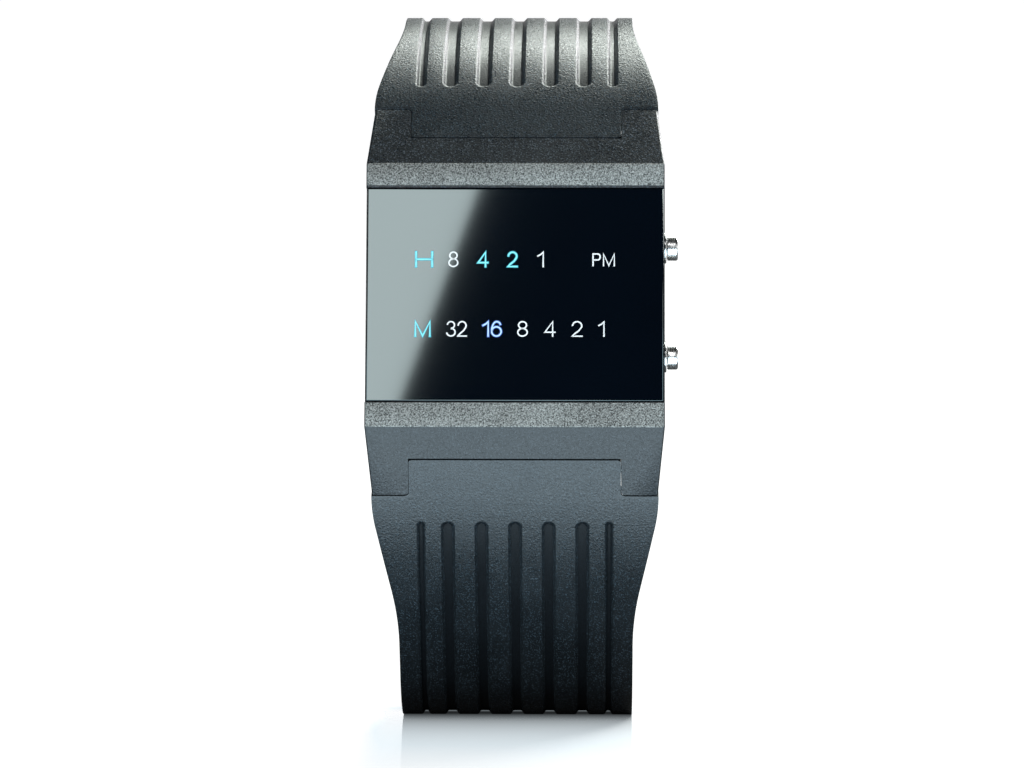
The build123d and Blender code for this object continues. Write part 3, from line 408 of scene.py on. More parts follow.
# The strap seen from the side: how far along its link, how far out, and its turn, at each place
class StrapPath:
    def __init__(self, shape):
        self.shape = shape
        side = shape["side"]
        self.along = dialUp * side * cos(linkAngle) - dialOut * sin(linkAngle)
        self.out = (across * side).cross(self.along)
        self.origin = dialCentre + dialUp * side * stance["faceHeight"] / 2 * mm
        self.runs = [(radius * radians(turn), turn) for radius, turn in shape["bends"]]
        self.runs.append((shape["straight"], 0.0))
        self.bends = self.runs[0][0] + self.runs[1][0]
        self.total = self.bends + self.runs[2][0]
        ribStart, ribEnd = shape["ribs"]
        self.ribs = ribStart, ribEnd or self.bends + shape["ribsOnTail"]

    def walk(self, place):
        reach, rise, turned = strapShape["shoulder"], 0.0, 0.0
        if place < 0:
            return reach + place, rise, turned
        for number, (length, turn) in enumerate(self.runs):
            step = min(place, length) if number < 2 else place
            bend = turn * step / length
            start, end = radians(turned), radians(turned + bend)
            if turn:
                radius = length / radians(turn)
                reach += radius * (sin(end) - sin(start))
                rise += radius * (cos(end) - cos(start))
            else:
                reach += step * cos(start)
                rise -= step * sin(start)
            turned += bend
            place -= step
            if place <= 1e-9:
                break
        return reach, rise, turned

    def frameAt(self, place):
        reach, rise, turned = self.walk(place)
        angle = radians(turned)
        point = self.origin + (self.along * reach + self.out * rise) * mm
        outward = self.along * sin(angle) + self.out * cos(angle)
        forward = self.along * cos(angle) - self.out * sin(angle)
        return point, outward, forward

    def depthAt(self, place):
        size, root, firstRun = strapShape, strapShape["rootThickness"], self.runs[0][0]
        reach = size["shoulder"] + place
        first, second, third = self.shape["depths"]
        if reach < size["pinReach"]:
            drop = size["noseRadius"] ** 2 - (size["pinReach"] - reach) ** 2
            return size["pinDepth"] + sqrt(max(drop, 0))
        if place < 0:
            return root
        if place < firstRun:
            return root + (first - root) * place / firstRun
        if place < self.bends:
            return first + (second - first) * (place - firstRun) / self.runs[1][0]
        return second + (third - second) * min(1, (place - self.bends) / self.runs[2][0])

    def halfWidthAt(self, place):
        size = strapShape
        point, reach = self.frameAt(place)[0], self.walk(place)[0]
        start, end = size["shoulder"] + size["flankStart"], size["shoulder"] + size["flankEnd"]
        root, waist = size["rootWidth"] / 2, size["waistWidth"] / 2
        slope = (waist - root) / (end - start)
        bend = tan(abs(slope) / 2)
        width = root + slope * (min(max(reach, start), end) - start)
        for corner, radius, sign in ((start, size["flankRound"], 1), (end, size["waistRound"], -1)):
            span = radius * bend
            gap = abs(reach - corner)
            if gap < span:
                width += sign * slope * (span - gap) ** 2 / (4 * span)
        if place > 0:
            beyond = (point - self.frameAt(self.bends)[0]).dot(self.frameAt(self.bends + 1)[2]) / mm
            tail, (low, high) = size["endWidth"] / 2, self.shape["taper"]
            if place > self.runs[0][0]:
                width = min(width, waist + (tail - waist) * min(max((beyond - low) / (high - low), 0), 1))
            tip = beyond - (self.shape["straight"] - tail)
            if "holes" in self.shape and tip > 0:
                width = min(width, sqrt(max(tail ** 2 - tip ** 2, 0.16)))
        return width


def strapColumns(grooves, slotHalf):
    most, half = strapShape["sideGrooves"], grooves["Groove Width"] / 2 + strapSteps["laneMargin"]
    lanes = [(number * grooves["Groove Pitch"], half) for number in range(-most, most + 1)]
    half = grooves["Outer Width"] / 2 + strapSteps["outerMargin"]
    lanes += [(side * grooves["Outer Place"], half) for side in (-1, 1)]
    places = {round(centre + x, 4) for centre, half in lanes for x in stretch(-half, half, strapSteps["fine"])}
    if slotHalf:
        places = {x for x in places if abs(abs(x) - slotHalf) > 0.05} | {-slotHalf, slotHalf}
    return sorted(places)


def between(start, stops):
    places = [start]
    for (low, _), (high, step) in zip([(start, None)] + stops, stops):
        places += stretch(low, high, strapSteps[step])[1:]
    return places


def strapStations(path):
    size, shape, shoulder = strapShape, path.shape, strapShape["shoulder"]
    reaches = between(size["noseReach"], [
        (size["noseReach"] + size["noseCorner"], "nose"), (size["pinReach"], "tongue"),
        (shoulder - size["shoulderCorner"], "neck"), (shoulder, "corner")])
    ribStart, ribEnd = path.ribs
    margin, overlap = shape["grooves"]["Groove Width"] / 2 + strapSteps["ribMargin"], strapSteps["ribOverlap"]
    stops = [(ribStart - margin, "plain"), (ribStart + overlap, "fine"),
             (ribEnd - overlap, "coarse"), (ribEnd + margin, "fine")]
    if "holes" in shape:
        tipRadius = size["endWidth"] / 2
        stops.append((path.total - tipRadius, "tail"))
        ending = [path.total - tipRadius + tipRadius * sin(radians(a)) for a in range(4, 89, 4)]
    else:
        roll = shape["eyelet"]
        stops += [(path.total - shape["slotLength"], "toSlot"), (path.total - roll + 0.55, "slot")]
        ending = [path.total - (roll - 0.05) * cos(radians(a)) for a in range(52, 180, 8)]
    return [reach - shoulder for reach in reaches] + between(0, stops)[1:] + ending


def buildStrapBody(name, path):
    size, corner = strapShape, strapShape["shoulderCorner"]
    slotHalf = path.shape.get("slotWidth", 0) / 2
    tongueHalf = size["tongueWidth"] / 2
    flareHalf = tongueHalf + corner
    flank = [0.2, 0.4, 0.6, 0.8, 1.0]
    columns = [("flank", -1, s) for s in reversed(flank)] + [("tongue", -1, 0)]
    columns += [("inner", 0, x) for x in strapColumns(path.shape["grooves"], slotHalf)]
    columns += [("tongue", 1, 0)] + [("flank", 1, s) for s in flank]
    places = strapStations(path)
    shoulderRow = min(range(len(places)), key=lambda i: abs(places[i]))
    slotStart = path.total - path.shape["slotLength"] if slotHalf else None
    roll = path.shape.get("eyelet")
    mesh = bmesh.new()
    layers = {key: mesh.verts.layers.float.new(key) for key in ("across", "along", "outerFace")}
    outwardLayer = mesh.verts.layers.float_vector.new("outward")
    softness = mesh.edges.layers.float.new("bevel_weight_edge")
    coarse = [i for i, (kind, side, value) in enumerate(columns)
              if kind != "inner" or i % 6 == 0 or (slotHalf and abs(abs(value) - slotHalf) < 1e-6)]

    def columnX(column, place, halfWidth):
        kind, side, value = column
        fit = min(1.0, (halfWidth - size["rim"]) / flareHalf)
        if kind == "inner":
            return value * fit
        if place < -1e-6:
            edge = tongueHalf
            if place + corner > 0:
                edge += corner - sqrt(max(corner ** 2 - (place + corner) ** 2, 0))
            nose = size["noseReach"] + size["noseCorner"] - (place + size["shoulder"])
            if nose > 0:
                edge -= size["noseCorner"] - sqrt(max(size["noseCorner"] ** 2 - nose ** 2, 0))
            return side * edge
        edge = flareHalf * fit
        return side * (edge + (halfWidth - edge) * value)

    def allowed(row, low, high):
        kinds = columns[low][0], columns[high][0]
        if row < shoulderRow and "flank" in kinds:
            return False
        if slotHalf and places[row] > slotStart - 1e-6 and kinds == ("inner", "inner"):
            return max(abs(columns[low][2]), abs(columns[high][2])) >= slotHalf + 1e-6
        return True

    top, bottom = {}, {}
    for row, place in enumerate(places):
        point, outward = path.frameAt(place)[:2]
        halfWidth = path.halfWidthAt(max(place, 0))
        upper, lower = 0.0, path.depthAt(place)
        if roll and place > path.total - roll:
            bulge = sqrt(max(roll ** 2 - (path.total - place) ** 2, 0))
            middle = path.shape["depths"][2] / 2
            if place > path.total or bulge > middle:
                upper, lower = middle - bulge, middle + bulge
        for number, column in enumerate(columns):
            if row < shoulderRow and column[0] == "flank":
                continue
            x = columnX(column, place, halfWidth)
            spot = point + across * x * mm
            top[row, number] = mesh.verts.new(spot - outward * upper * mm)
            for key, value in (("across", x), ("along", place), ("outerFace", 1.0)):
                top[row, number][layers[key]] = value
            top[row, number][outwardLayer] = outward
            if number in coarse:
                bottom[row, number] = mesh.verts.new(spot - outward * lower * mm)

    def panel(*corners):
        mesh.faces.new(corners[::path.shape["side"]])

    for row in range(len(places) - 1):
        for low in range(len(columns) - 1):
            if allowed(row, low, low + 1):
                panel(top[row, low], top[row, low + 1], top[row + 1, low + 1], top[row + 1, low])
        for low, high in zip(coarse, coarse[1:]):
            if allowed(row, low, high):
                panel(bottom[row + 1, low], bottom[row + 1, high], bottom[row, high], bottom[row, low])
    # Walls run down from each open edge of the outer face, with the fine columns gathered below
    below = {vert: bottom[row, min(coarse, key=lambda c: abs(c - number))] for (row, number), vert in top.items()}
    openEdges = [edge for edge in mesh.edges if len(edge.link_faces) == 1
                 and all(vert in below for vert in edge.verts)]
    for edge in openEdges:
        low, high = edge.verts
        order = list(edge.link_faces[0].verts)
        if order[(order.index(low) + 1) % len(order)] is high:
            low, high = high, low
        corners = [low, high, below[high], below[low]]
        unique = [v for i, v in enumerate(corners) if v not in corners[:i]]
        if len(unique) > 2:
            mesh.faces.new(unique)
    bmesh.ops.delete(mesh, geom=[vert for vert in mesh.verts if not vert.link_faces], context="VERTS")
    # Long edges get the full round, and those of the tongue and the buckle slot a small one
    for edge in mesh.edges:
        if len(edge.link_faces) == 2 and edge.calc_face_angle(0) > radians(size["crease"]):
            low, high = [vert.co for vert in edge.verts]
            placed = [vert[layers["along"]] for vert in edge.verts if vert[layers["outerFace"]] > 0.5]
            reach = ((low + high) / 2 - path.origin).dot(path.along) / mm
            small = reach < size["shoulder"] + 0.02 and (not placed or max(placed) < 0.02)
            upright = abs((low - high).normalized().dot(path.frameAt(0)[1])) > 0.9
            if slotHalf and placed and min(placed) > slotStart - 0.01:
                small = True
            if not (small and upright and len(placed) < 2):
                edge[softness] = size["tongueEdge"] / size["edgeRound"] if small else 1.0
    return makePiece(name, mesh)


def paintedTree(tree, geometry, finish):
    realize = addNode(tree, "GeometryNodeRealizeInstances", {0: geometry})
    sockets = {"Geometry": realize.outputs[0], "Material": finish}
    return addNode(tree, "GeometryNodeSetMaterial", sockets).outputs[0]


def makeRibTree():
    size = strapShape
    numbers = {**upperShape["grooves"], "Start": 0.0, "End": 10.0}
    tree, ins, outs = newTree(
        "strapRibs", "GeometryNodeTree",
        [("Geometry", "Geometry"), *[(label, "Float", value) for label, value in numbers.items()],
         ("Finish", "Material"), ("Floor Finish", "Material")],
        [("Geometry", "Geometry")])

    def named(label, kind="FLOAT"):
        return addNode(tree, "GeometryNodeInputNamedAttribute", {"Name": label}, data_type=kind).outputs["Attribute"]

    def edgeDistance(gap, width, endReach):
        away = plus(tree, times(tree, gap, gap), times(tree, endReach, endReach))
        return minus(tree, calc(tree, "SQRT", away), times(tree, width, 0.5))

    x, along, outerFace = named("across"), named("along"), named("outerFace")
    before, after = minus(tree, ins["Start"], along), minus(tree, along, ins["End"])
    endGap = calc(tree, "MAXIMUM", calc(tree, "MAXIMUM", before, after), 0.0)
    lane = calc(tree, "ROUND", calc(tree, "DIVIDE", x, ins["Groove Pitch"]))
    most = size["sideGrooves"]
    lane = calc(tree, "MINIMUM", calc(tree, "MAXIMUM", lane, -most), most)
    sideGap = minus(tree, x, times(tree, lane, ins["Groove Pitch"]))
    outerGap = minus(tree, calc(tree, "ABSOLUTE", x), ins["Outer Place"])
    shorter = times(tree, minus(tree, ins["Groove Width"], ins["Outer Width"]), 0.5)
    outerEnd = calc(tree, "MAXIMUM", minus(tree, endGap, shorter), 0.0)
    inside = calc(tree, "MINIMUM", edgeDistance(sideGap, ins["Groove Width"], endGap),
                  edgeDistance(outerGap, ins["Outer Width"], outerEnd))
    slope = ramp(tree, inside, size["grooveLip"], times(tree, ins["Wall"], -1.0), soft=True)
    sunk = times(tree, slope, outerFace)
    sink = times(tree, sunk, ins["Groove Depth"], -mm)
    shift = scaled(tree, named("outward", "FLOAT_VECTOR"), sink)
    move = addNode(tree, "GeometryNodeSetPosition", {"Geometry": ins["Geometry"], "Offset": shift})
    painted = paintedTree(tree, move.outputs[0], ins["Finish"])
    # The deepest parts of the grooves take the darker finish: painted shade in the grooves
    deepest = calc(tree, "GREATER_THAN", sunk, size["floorShare"])
    floor = {"Geometry": painted, "Selection": deepest, "Material": ins["Floor Finish"]}
    feed(tree, outs["Geometry"], addNode(tree, "GeometryNodeSetMaterial", floor).outputs[0])
    return tree


def makeRowTree():
    tree, ins, outs = newTree(
        "holeRow", "GeometryNodeTree",
        [("Geometry", "Geometry"), ("Count", "Int", 9),
         ("Step", "Vector", (0.0, 0.006, 0.0)), ("Finish", "Material")],
        [("Geometry", "Geometry")])
    line = addNode(tree, "GeometryNodeMeshLine", {"Count": ins["Count"], "Offset": ins["Step"]}, mode="OFFSET")
    sockets = {"Points": line.outputs[0], "Instance": ins["Geometry"]}
    copies = addNode(tree, "GeometryNodeInstanceOnPoints", sockets)
    feed(tree, outs["Geometry"], paintedTree(tree, copies.outputs[0], ins["Finish"]))
    return tree


ribTree, rowTree = makeRibTree(), makeRowTree()


def runTree(piece, tree, values):
    modifier = piece.modifiers.new(tree.name, "NODES")
    modifier.node_group = tree
    for item in tree.interface.items_tree:
        if item.item_type == "SOCKET" and item.in_out == "INPUT" and item.name in values:
            modifier[item.identifier] = values[item.name]


def settle(piece):
    depsgraph = bpy.context.evaluated_depsgraph_get()
    data = bpy.data.meshes.new_from_object(piece.evaluated_get(depsgraph))
    piece.modifiers.clear()
    piece.data = data
    return piece


def shadeSoft(piece, angle=38):
    for polygon in piece.data.polygons:
        polygon.use_smooth = True
    piece.data.set_sharp_from_angle(angle=radians(angle))


# Tools that cut the straps: their lengths reach well past what they cut
cutters = {
    "boreLength": 40, "boreSides": 40, "holeSides": 24, "holeLength": 8,
    "reliefAngle": 14.0, "reliefLength": 7, "reliefDrop": 0.5, "reliefStart": 0.05, "reliefGap": 0.02,
}


def boreMesh(mesh, centre):
    turn = Vector((0, 0, 1)).rotation_difference(across).to_matrix().to_4x4()
    radius = strapShape["boreRadius"] * mm
    bmesh.ops.create_cone(mesh, cap_ends=True, segments=cutters["boreSides"], radius1=radius, radius2=radius,
                          depth=cutters["boreLength"] * mm, matrix=Matrix.Translation(centre) @ turn)


def prismMesh(mesh, outline, shift):
    near = [mesh.verts.new(spot) for spot in outline]
    far = [mesh.verts.new(spot + shift) for spot in outline]
    mesh.faces.new(near)
    mesh.faces.new(far[::-1])
    for i in range(len(outline)):
        j = (i + 1) % len(outline)
        mesh.faces.new([near[j], near[i], far[i], far[j]])
    bmesh.ops.recalc_face_normals(mesh, faces=mesh.faces)


# The shoulders beside the tongue are cut back below the pin, so that the strap can swing in
def cutShoulders(cutter, path):
    size = strapShape
    deep = size["rootThickness"] + cutters["reliefDrop"]
    slant = tan(radians(cutters["reliefAngle"])) * (deep - size["pinDepth"])
    near = size["shoulder"] - size["shoulderCorner"] - cutters["reliefStart"]
    section = ((near, size["pinDepth"]), (size["shoulder"], size["pinDepth"]),
               (size["shoulder"] + slant, deep), (near, deep))
    for side in (-1, 1):
        edge = path.origin + across * side * (size["tongueWidth"] / 2 + cutters["reliefGap"]) * mm
        outline = [edge + (path.along * reach - path.out * depth) * mm for reach, depth in section]
        prismMesh(cutter, outline, across * side * cutters["reliefLength"] * mm)


def makeHoleRow(name, path, holes):
    point, outward, forward = path.frameAt(path.total - holes["fromTip"])
    straight = (holes["length"] - holes["width"]) / 2
    rim = []
    for step in range(cutters["holeSides"]):
        angle = 2 * pi * step / cutters["holeSides"]
        shift = straight if cos(angle) > 0 else -straight
        x, y = holes["width"] / 2 * cos(angle) + shift, holes["width"] / 2 * sin(angle)
        rim.append(point + (forward * y + across * x + outward * 2) * mm)
    mesh = bmesh.new()
    prismMesh(mesh, rim, -outward * cutters["holeLength"] * mm)
    row = makePiece(name + "Holes", mesh)
    runTree(row, rowTree, {"Count": holes["count"], "Step": tuple(-forward * holes["pitch"] * mm),
                           "Finish": finishes["strap_rubber"]})
    return settle(row)


def makeStrap(name, shape, body, floorShadeFinish):
    path, size = StrapPath(shape), strapShape
    piece = buildStrapBody(name, path)
    runTree(piece, ribTree, {**shape["grooves"], "Start": path.ribs[0], "End": path.ribs[1],
                             "Finish": finishes["strap_rubber"], "Floor Finish": floorShadeFinish})
    soften = piece.modifiers.new("softEdges", "BEVEL")
    soften.limit_method, soften.width = "WEIGHT", size["edgeRound"] * mm
    soften.segments, soften.use_clamp_overlap = 3, True
    cutter = bmesh.new()
    boreMesh(cutter, path.origin + (path.along * size["pinReach"] - path.out * size["pinDepth"]) * mm)
    if "eyelet" in shape:
        point, outward = path.frameAt(path.total)[:2]
        boreMesh(cutter, point - outward * shape["depths"][2] / 2 * mm)
    cutShoulders(cutter, path)
    tools = [makePiece(name + "Bores", cutter)]
    if "holes" in shape:
        tools.append(makeHoleRow(name, path, shape["holes"]))
    for tool in tools:
        cut = piece.modifiers.new("cut", "BOOLEAN")
        cut.operation, cut.object, cut.solver = "DIFFERENCE", tool, "EXACT"
    settle(piece)
    for tool in tools:
        bpy.data.objects.remove(tool)
    for key in ("across", "along", "outerFace", "outward", "bevel_weight_edge"):
        if key in piece.data.attributes:
            piece.data.attributes.remove(piece.data.attributes[key])
    shadeSoft(piece)
    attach(piece, body)
    return piece


upperStrap = makeStrap("ribbedUpperStrap", upperShape, "upper_strap", upperShadedFloors)
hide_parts("upper_strap")
lowerStrap = makeStrap("ribbedLowerStrap", lowerShape, "lower_strap", lowerShadedFloors)
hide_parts("lower_strap")
for piece in (upperStrap, lowerStrap):
    floors = sum(polygon.material_index == 1 for polygon in piece.data.polygons)
    print("strap:", piece.name, len(piece.data.polygons), "faces,", floors, "on groove floors",
          piece.data.materials.keys())


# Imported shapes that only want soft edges: edge width, steps and the shortest edge rounded,
# where faces meet at more than the crease angle
crease = 28
softEdges = {
    "case_body": (0.18, 3, 0.9), "fixed_keeper": (0.22, 3, 0.9), "free_keeper": (0.22, 3, 0.9),
    "buckle_tongue": (0.18, 3, 0.9), "mirror_glass": (0.05, 2, 0.9), "case_back": (0.06, 2, 0.9),
    "upper_button": (0.12, 3, 0.0), "lower_button": (0.12, 3, 0.0),
    "upper_button_bush": (0.08, 2, 0.0), "lower_button_bush": (0.08, 2, 0.0),
}


def copyNode(node, flatten=False):
    mesh = bmesh.new()
    mesh.from_mesh(nodes[node].data)
    bmesh.ops.remove_doubles(mesh, verts=mesh.verts, dist=2e-6)
    if flatten:
        bmesh.ops.dissolve_limit(mesh, angle_limit=radians(1.0), verts=mesh.verts, edges=mesh.edges)
    bmesh.ops.recalc_face_normals(mesh, faces=mesh.faces)
    return mesh


def softened(node, width, segments, shortest, body):
    mesh = copyNode(node, flatten=True)
    softness = mesh.edges.layers.float.new("bevel_weight_edge")
    for edge in mesh.edges:
        if len(edge.link_faces) == 2 and edge.calc_face_angle(0) > radians(crease):
            edge[softness] = 1.0 if edge.calc_length() > shortest * mm else 0.0
    piece = makePiece("soft_" + node, mesh)
    shadeSoft(piece, crease)
    bevel = piece.modifiers.new("softEdges", "BEVEL")
    bevel.width, bevel.segments, bevel.limit_method = width * mm, segments, "WEIGHT"
    bevel.use_clamp_overlap, bevel.harden_normals = True, True
    settle(piece)
    piece.data.attributes.remove(piece.data.attributes["bevel_weight_edge"])
    piece.data.materials.append(finishes[slotOf[node]])
    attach(piece, body)
    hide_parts(node)


bodyOf = {node: body for body, members in frame["record"]["behaviour"]["bodies"].items() for node in members}
for node, soft in softEdges.items():
    softened(node, *soft, bodyOf[node])
print("soft edges done")


# Each return spring gets a smooth-shaded copy that rides with its button's body
def makeSpring(name):
    joint = next(j for j in frame["record"]["behaviour"]["joints"] if j["name"] == name + "_press")
    node, fixedEnd = [joint["deforming_nodes"][0][key] for key in ("node", "fixed_end_x_m")]
    piece = makePiece("coiled_" + node, copyNode(node), finishes[slotOf[node]])
    shadeSoft(piece, angle=60)
    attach(piece, bodyOf[node])
    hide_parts(node)
    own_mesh(piece)


for name in ("upper_button", "lower_button"):
    makeSpring(name)


# Numerals and letters on the glass, drawn as plain strokes
legend = {
    "height": 1.93, "smallHeight": 1.6, "stroke": 0.175, "glowStroke": 0.3, "coreStroke": 0.15,
    "lift": 0.012, "coreLift": 0.006,
    "upper": (4.29, (("H", -10.95, 2.11, "cyan"), ("8", -7.43, 1.23, "white"), ("4", -3.88, 1.31, "cyan"),
                     ("2", -0.31, 1.23, "cyan"), ("1", 3.08, 0.87, "white"))),
    "mark": (4.25, (("P", 9.79, 1.02, "white"), ("M", 11.27, 1.47, "white"))),
    "lower": (-4.19, (("M", -11.07, 1.92, "cyan"), ("3", -7.64, 1.19, "white"), ("2", -6.33, 1.19, "white"),
                      ("1", -3.48, 0.83, "blue"), ("6", -2.21, 1.31, "blue"), ("8", 0.92, 1.31, "white"),
                      ("4", 4.2, 1.37, "white"), ("2", 7.47, 1.35, "white"), ("1", 10.41, 0.83, "white"))),
}


def bow(x, y, wide, high, start, end, parts=14):
    turns = [radians(start + (end - start) * i / parts) for i in range(parts + 1)]
    return [(x + wide * cos(turn), y + high * sin(turn)) for turn in turns]


glyphs = {
    "H": ([(0, 0), (0, 1)], [(1, 0), (1, 1)], [(0, 0.5), (1, 0.5)]),
    "M": ([(0, 0), (0, 1), (0.5, 0), (1, 1), (1, 0)],),
    "P": ([(0, 0), (0, 1)] + bow(0.66, 0.74, 0.34, 0.26, 90, -90) + [(0, 0.48)],),
    "1": ([(0, 0.74), (0.5, 0.84), (0.92, 1), (0.92, 0)],),
    "2": (bow(0.5, 0.72, 0.47, 0.28, 172, -25) + [(0.68, 0.38), (0.25, 0.17), (0, 0), (1, 0)],),
    "3": (bow(0.47, 0.765, 0.42, 0.235, 165, -90) + bow(0.47, 0.265, 0.5, 0.265, 90, -165),),
    "4": ([(0.78, 0), (0.78, 1), (0, 0.27), (1, 0.27)],),
    "6": (bow(0.5, 0.32, 0.5, 0.32, 0, 360, 24),
          bow(0.52, 0.36, 0.52, 0.64, 180, 90, 8) + bow(0.52, 0.76, 0.4, 0.24, 80, 15, 5)),
    "8": (bow(0.5, 0.765, 0.42, 0.235, 0, 360, 20), bow(0.5, 0.265, 0.5, 0.265, 0, 360, 22)),
}


def inkMaterial(name, colour, glow):
    material, tree, shader, place = startMaterial(name, Roughness=0.4, Emission_Strength=glow)
    shade = cloudy(tree, place, "ink")
    for socket in ("Base Color", "Emission Color"):
        feed(tree, shader.inputs[socket], scaled(tree, colour, shade))
    return material


inks = {
    # The white print glows a little: painted light that keeps it bright
    "white": inkMaterial("glowingWhiteInk", (0.46, 0.465, 0.465), 0.35),
    "cyan": inkMaterial("cyanLight", (0.002, 0.19, 0.24), 0.85),
    "blue": inkMaterial("blueLight", (0.012, 0.06, 0.26), 0.85),
    "cyanCore": inkMaterial("cyanCore", (0.11, 0.37, 0.4), 0.9),
    "blueCore": inkMaterial("blueCore", (0.24, 0.34, 0.38), 0.9),
}


def drawStroke(mesh, points, width, lift):
    closed = (Vector(points[0]) - Vector(points[-1])).length < 1e-6
    spots = [Vector(point) for point in (points[:-1] if closed else points)]
    count = len(spots)
    pairs = []
    for i, spot in enumerate(spots):
        before = spots[i - 1] if closed or i else spot * 2 - spots[1]
        after = spots[(i + 1) % count] if closed or i < count - 1 else spot * 2 - spots[-2]
        first, second = (spot - before).normalized(), (after - spot).normalized()
        mitre = (first + second).normalized()
        side = Vector((-mitre.y, mitre.x)) * width / 2 * min(1 / max(mitre.dot(first), 0.1), 1.9)
        ends = [spot + side, spot - side]
        if not closed and i in (0, count - 1):
            push = first * width / 2 * (1 if i else -1)
            ends = [end + push for end in ends]
        pairs.append([mesh.verts.new(dialPoint(end.x, end.y, lift)) for end in ends])
    for i in range(count if closed else count - 1):
        (a, b), (c, d) = pairs[i], pairs[(i + 1) % count]
        mesh.faces.new([a, b, d, c])


def makeLegend():
    layers = {ink: bmesh.new() for ink in inks}
    lift, stroke = legend["lift"], legend["stroke"]
    for name in ("upper", "mark", "lower"):
        up, row = legend[name]
        high = legend["smallHeight" if name == "mark" else "height"] - stroke
        for letter, x, width, ink in row:
            lit, wide = ink != "white", width - stroke
            for points in glyphs[letter]:
                placed = [(x + (a - 0.5) * wide, up + (b - 0.5) * high) for a, b in points]
                drawStroke(layers[ink], placed, legend["glowStroke"] if lit else stroke, lift)
                if lit:
                    drawStroke(layers[ink + "Core"], placed, legend["coreStroke"], lift + legend["coreLift"])
    for ink, mesh in layers.items():
        mesh.normal_update()
        for face in mesh.faces:
            if face.normal.dot(dialOut) < 0:
                face.normal_flip()
        piece = makePiece("legend_" + ink, mesh, inks[ink])
        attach(piece, "case")


makeLegend()
print("legend made")


# Studio: one paper sweep, a dark room and soft lamps
studio = {
    "front": -2.4, "wallAt": 2.4, "wallTop": 2.2, "bend": 0.7, "bendSteps": 16, "halfWidth": 3.0,
    "paper": 0.16, "nearGlow": 0.93, "farGlow": 1.0, "bouncePaper": 0.05, "wallFrom": (0.25, 1.2),
    "brightBelow": (0.6, 0.8), "brightWithin": (0.42, 0.6), "contact": -0.027, "mirror": 0.98,
    "mirrorFade": 0.0178, "mirrorRear": (0.006, 0.001), "mirrorSide": (0.0165, 0.02),
    "mirrorColour": (0.97, 0.98, 1.0), "mirrorTint": (0.84, 0.945, 1.0),
    "roomGlow": 0.10, "roomShine": 0.004, "roomTint": (0.72, 0.92, 1.1, 1.0),
    "key": {"distance": 0.9, "size": (0.62, 0.56), "radiance": 6.0,
            "edgeAngle": 20.3, "edgeX": -23.8, "edgeUp": 0.6},
    "lamps": {
        "crownSoftbox": {"place": (0.27, 0.424, 0.752), "size": (0.84, 0.27), "radiance": 12.5,
                         "colour": (0.98, 1.05, 0.985)},
        "ribSoftbox": {"place": (0.46, 0.58, 0.40), "size": (0.36, 0.5), "radiance": 14.0},
        "sideSoftbox": {"place": (0.8, 0.22, 0.1), "size": (0.3, 0.3), "radiance": 2.6},
        "lipSoftbox": {"place": (0.55, -0.35, 0.03), "size": (0.2, 0.4), "radiance": 4.0},
        "lowPanel": {"place": (0.0, -0.221, 0.003), "size": (0.5, 0.3), "radiance": 4.6,
                     "aim": (0.0, -0.221, 1.0), "colour": (0.74, 0.93, 1.04)},
    },
}


def makeSweep():
    wall, bend, steps = studio["wallAt"], studio["bend"], studio["bendSteps"]
    profile = [(studio["front"], 0.0), (wall - bend, 0.0)]
    for step in range(1, steps + 1):
        angle = radians(90 * step / steps)
        profile.append((wall - bend * (1 - sin(angle)), bend * (1 - cos(angle))))
    profile.append((wall, studio["wallTop"]))
    mesh = bmesh.new()
    rows = [[mesh.verts.new((x, y, z)) for x in (-studio["halfWidth"], studio["halfWidth"])] for y, z in profile]
    for low, high in zip(rows, rows[1:]):
        mesh.faces.new([low[0], low[1], high[1], high[0]])
    sweep = makePiece("paperSweep", mesh, makePaper())
    for polygon in sweep.data.polygons:
        polygon.use_smooth = True


def rayKinds(tree):
    path = addNode(tree, "ShaderNodeLightPath").outputs
    return path["Is Camera Ray"], path["Is Glossy Ray"]


# White paper for the camera, dark for the light it would throw back at the watch, and
# glossy just in front of the watch
def makePaper():
    material, tree, shader, place = startMaterial("sweepPaper", Roughness=0.06, Specular_IOR_Level=0.0)
    x, y, z = addNode(tree, "ShaderNodeSeparateXYZ", {0: place}).outputs
    camera, glossy = rayKinds(tree)
    aside = calc(tree, "ABSOLUTE", x)
    tone = blend(tree, camera, studio["bouncePaper"], studio["paper"])
    # The glossy patch starts at the strap and fades towards the camera
    ahead = calc(tree, "MAXIMUM", minus(tree, studio["contact"], y), 0.0)
    fade = calc(tree, "EXPONENT", calc(tree, "DIVIDE", ahead, -studio["mirrorFade"]))
    rear = ramp(tree, y, *[studio["contact"] + gap for gap in studio["mirrorRear"]], soft=True)
    side = ramp(tree, aside, *studio["mirrorSide"], 1.0, 0.0, soft=True)
    shine = times(tree, times(tree, fade, rear, side), times(tree, camera, studio["mirror"]))
    paper = scaled(tree, (1.0, 1.0, 1.0), times(tree, tone, cloudy(tree, place, "paper")))
    feed(tree, shader.inputs["Base Color"], mixed(tree, "VECTOR", shine, paper, studio["mirrorColour"]))
    feed(tree, shader.inputs["Metallic"], shine)
    # The watch mirrors only the low middle of the wall, while the camera sees all of it
    wall = ramp(tree, y, *studio["wallFrom"])
    lowWall = ramp(tree, z, *studio["brightBelow"], 1.0, 0.0)
    midWall = ramp(tree, aside, *studio["brightWithin"], 1.0, 0.0)
    seen = calc(tree, "MAXIMUM", camera, times(tree, glossy, times(tree, wall, lowWall, midWall)))
    far = ramp(tree, measured(tree, "LENGTH", place), *studio["wallFrom"])
    level = blend(tree, far, studio["nearGlow"], studio["farGlow"])
    tintShare = calc(tree, "MULTIPLY", shine, 4.0, clamp=True)
    feed(tree, shader.inputs["Emission Color"],
         mixed(tree, "VECTOR", tintShare, (1.0, 1.0, 1.0), studio["mirrorTint"]))
    feed(tree, shader.inputs["Emission Strength"], times(tree, seen, level, minus(tree, 1.0, shine)))
    return material


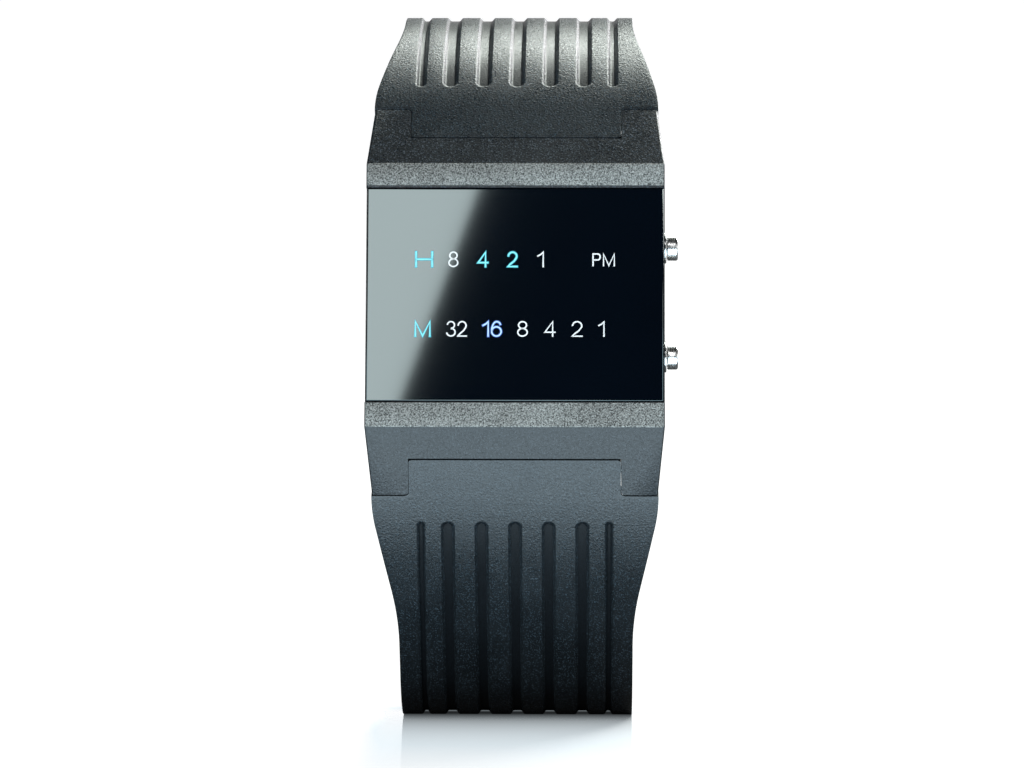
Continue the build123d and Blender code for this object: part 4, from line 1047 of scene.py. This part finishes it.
def makeWorld():
    world = bpy.data.worlds.new("studioWorld")
    scene.world = world
    world.use_nodes = True
    tree = world.node_tree
    background = tree.nodes["Background"].inputs
    camera, glossy = rayKinds(tree)
    dark = blend(tree, glossy, studio["roomGlow"], studio["roomShine"])
    feed(tree, background["Strength"], mixed(tree, "FLOAT", camera, dark, 1.0))
    feed(tree, background["Color"], mixed(tree, "RGBA", camera, studio["roomTint"], (1.0, 1.0, 1.0, 1.0)))


def hangLamp(name, centre, right, up, lamp):
    data = bpy.data.lights.new(name, "AREA")
    data.shape, (data.size, data.size_y) = "RECTANGLE", lamp["size"]
    data.energy = lamp["radiance"] * pi * lamp["size"][0] * lamp["size"][1]
    data.color = lamp.get("colour", (1, 1, 1))
    hung = bpy.data.objects.new(name, data)
    turned = Matrix((right, up, right.cross(up))).transposed().to_4x4()
    hung.matrix_world = Matrix.Translation(centre) @ turned
    hung.visible_camera = False
    scene.collection.objects.link(hung)


def makeLights():
    # The key lamp hangs where the glass mirrors it, its slanted edge across the dial
    key = studio["key"]
    toCamera = (scene.camera.matrix_world.translation - dialCentre).normalized()
    mirrored = dialOut * 2 * toCamera.dot(dialOut) - toCamera
    hit = dialCentre + mirrored * key["distance"]
    upward = (dialUp - mirrored * dialUp.dot(mirrored)).normalized()
    slant = radians(key["edgeAngle"])
    edge = upward * cos(slant) + across * sin(slant)
    inward = (upward * sin(slant) - across * cos(slant)).normalized()
    centre = hit + (across * key["edgeX"] + upward * key["edgeUp"]) * mm + inward * key["size"][0] / 2
    edge = (edge - inward * edge.dot(inward)).normalized()
    if inward.cross(edge).dot(mirrored) < 0:
        inward = -inward
    hangLamp("keySoftbox", centre, inward, edge, key)
    for name, lamp in studio["lamps"].items():
        place = Vector(lamp["place"])
        away = (place - Vector(lamp.get("aim", dialCentre))).normalized()
        right = across if abs(away.z) > 0.99 else Vector((0, 0, 1)).cross(away).normalized()
        hangLamp(name, place, right, away.cross(right), lamp)


makeSweep()
makeWorld()
makeLights()
print("studio ready")
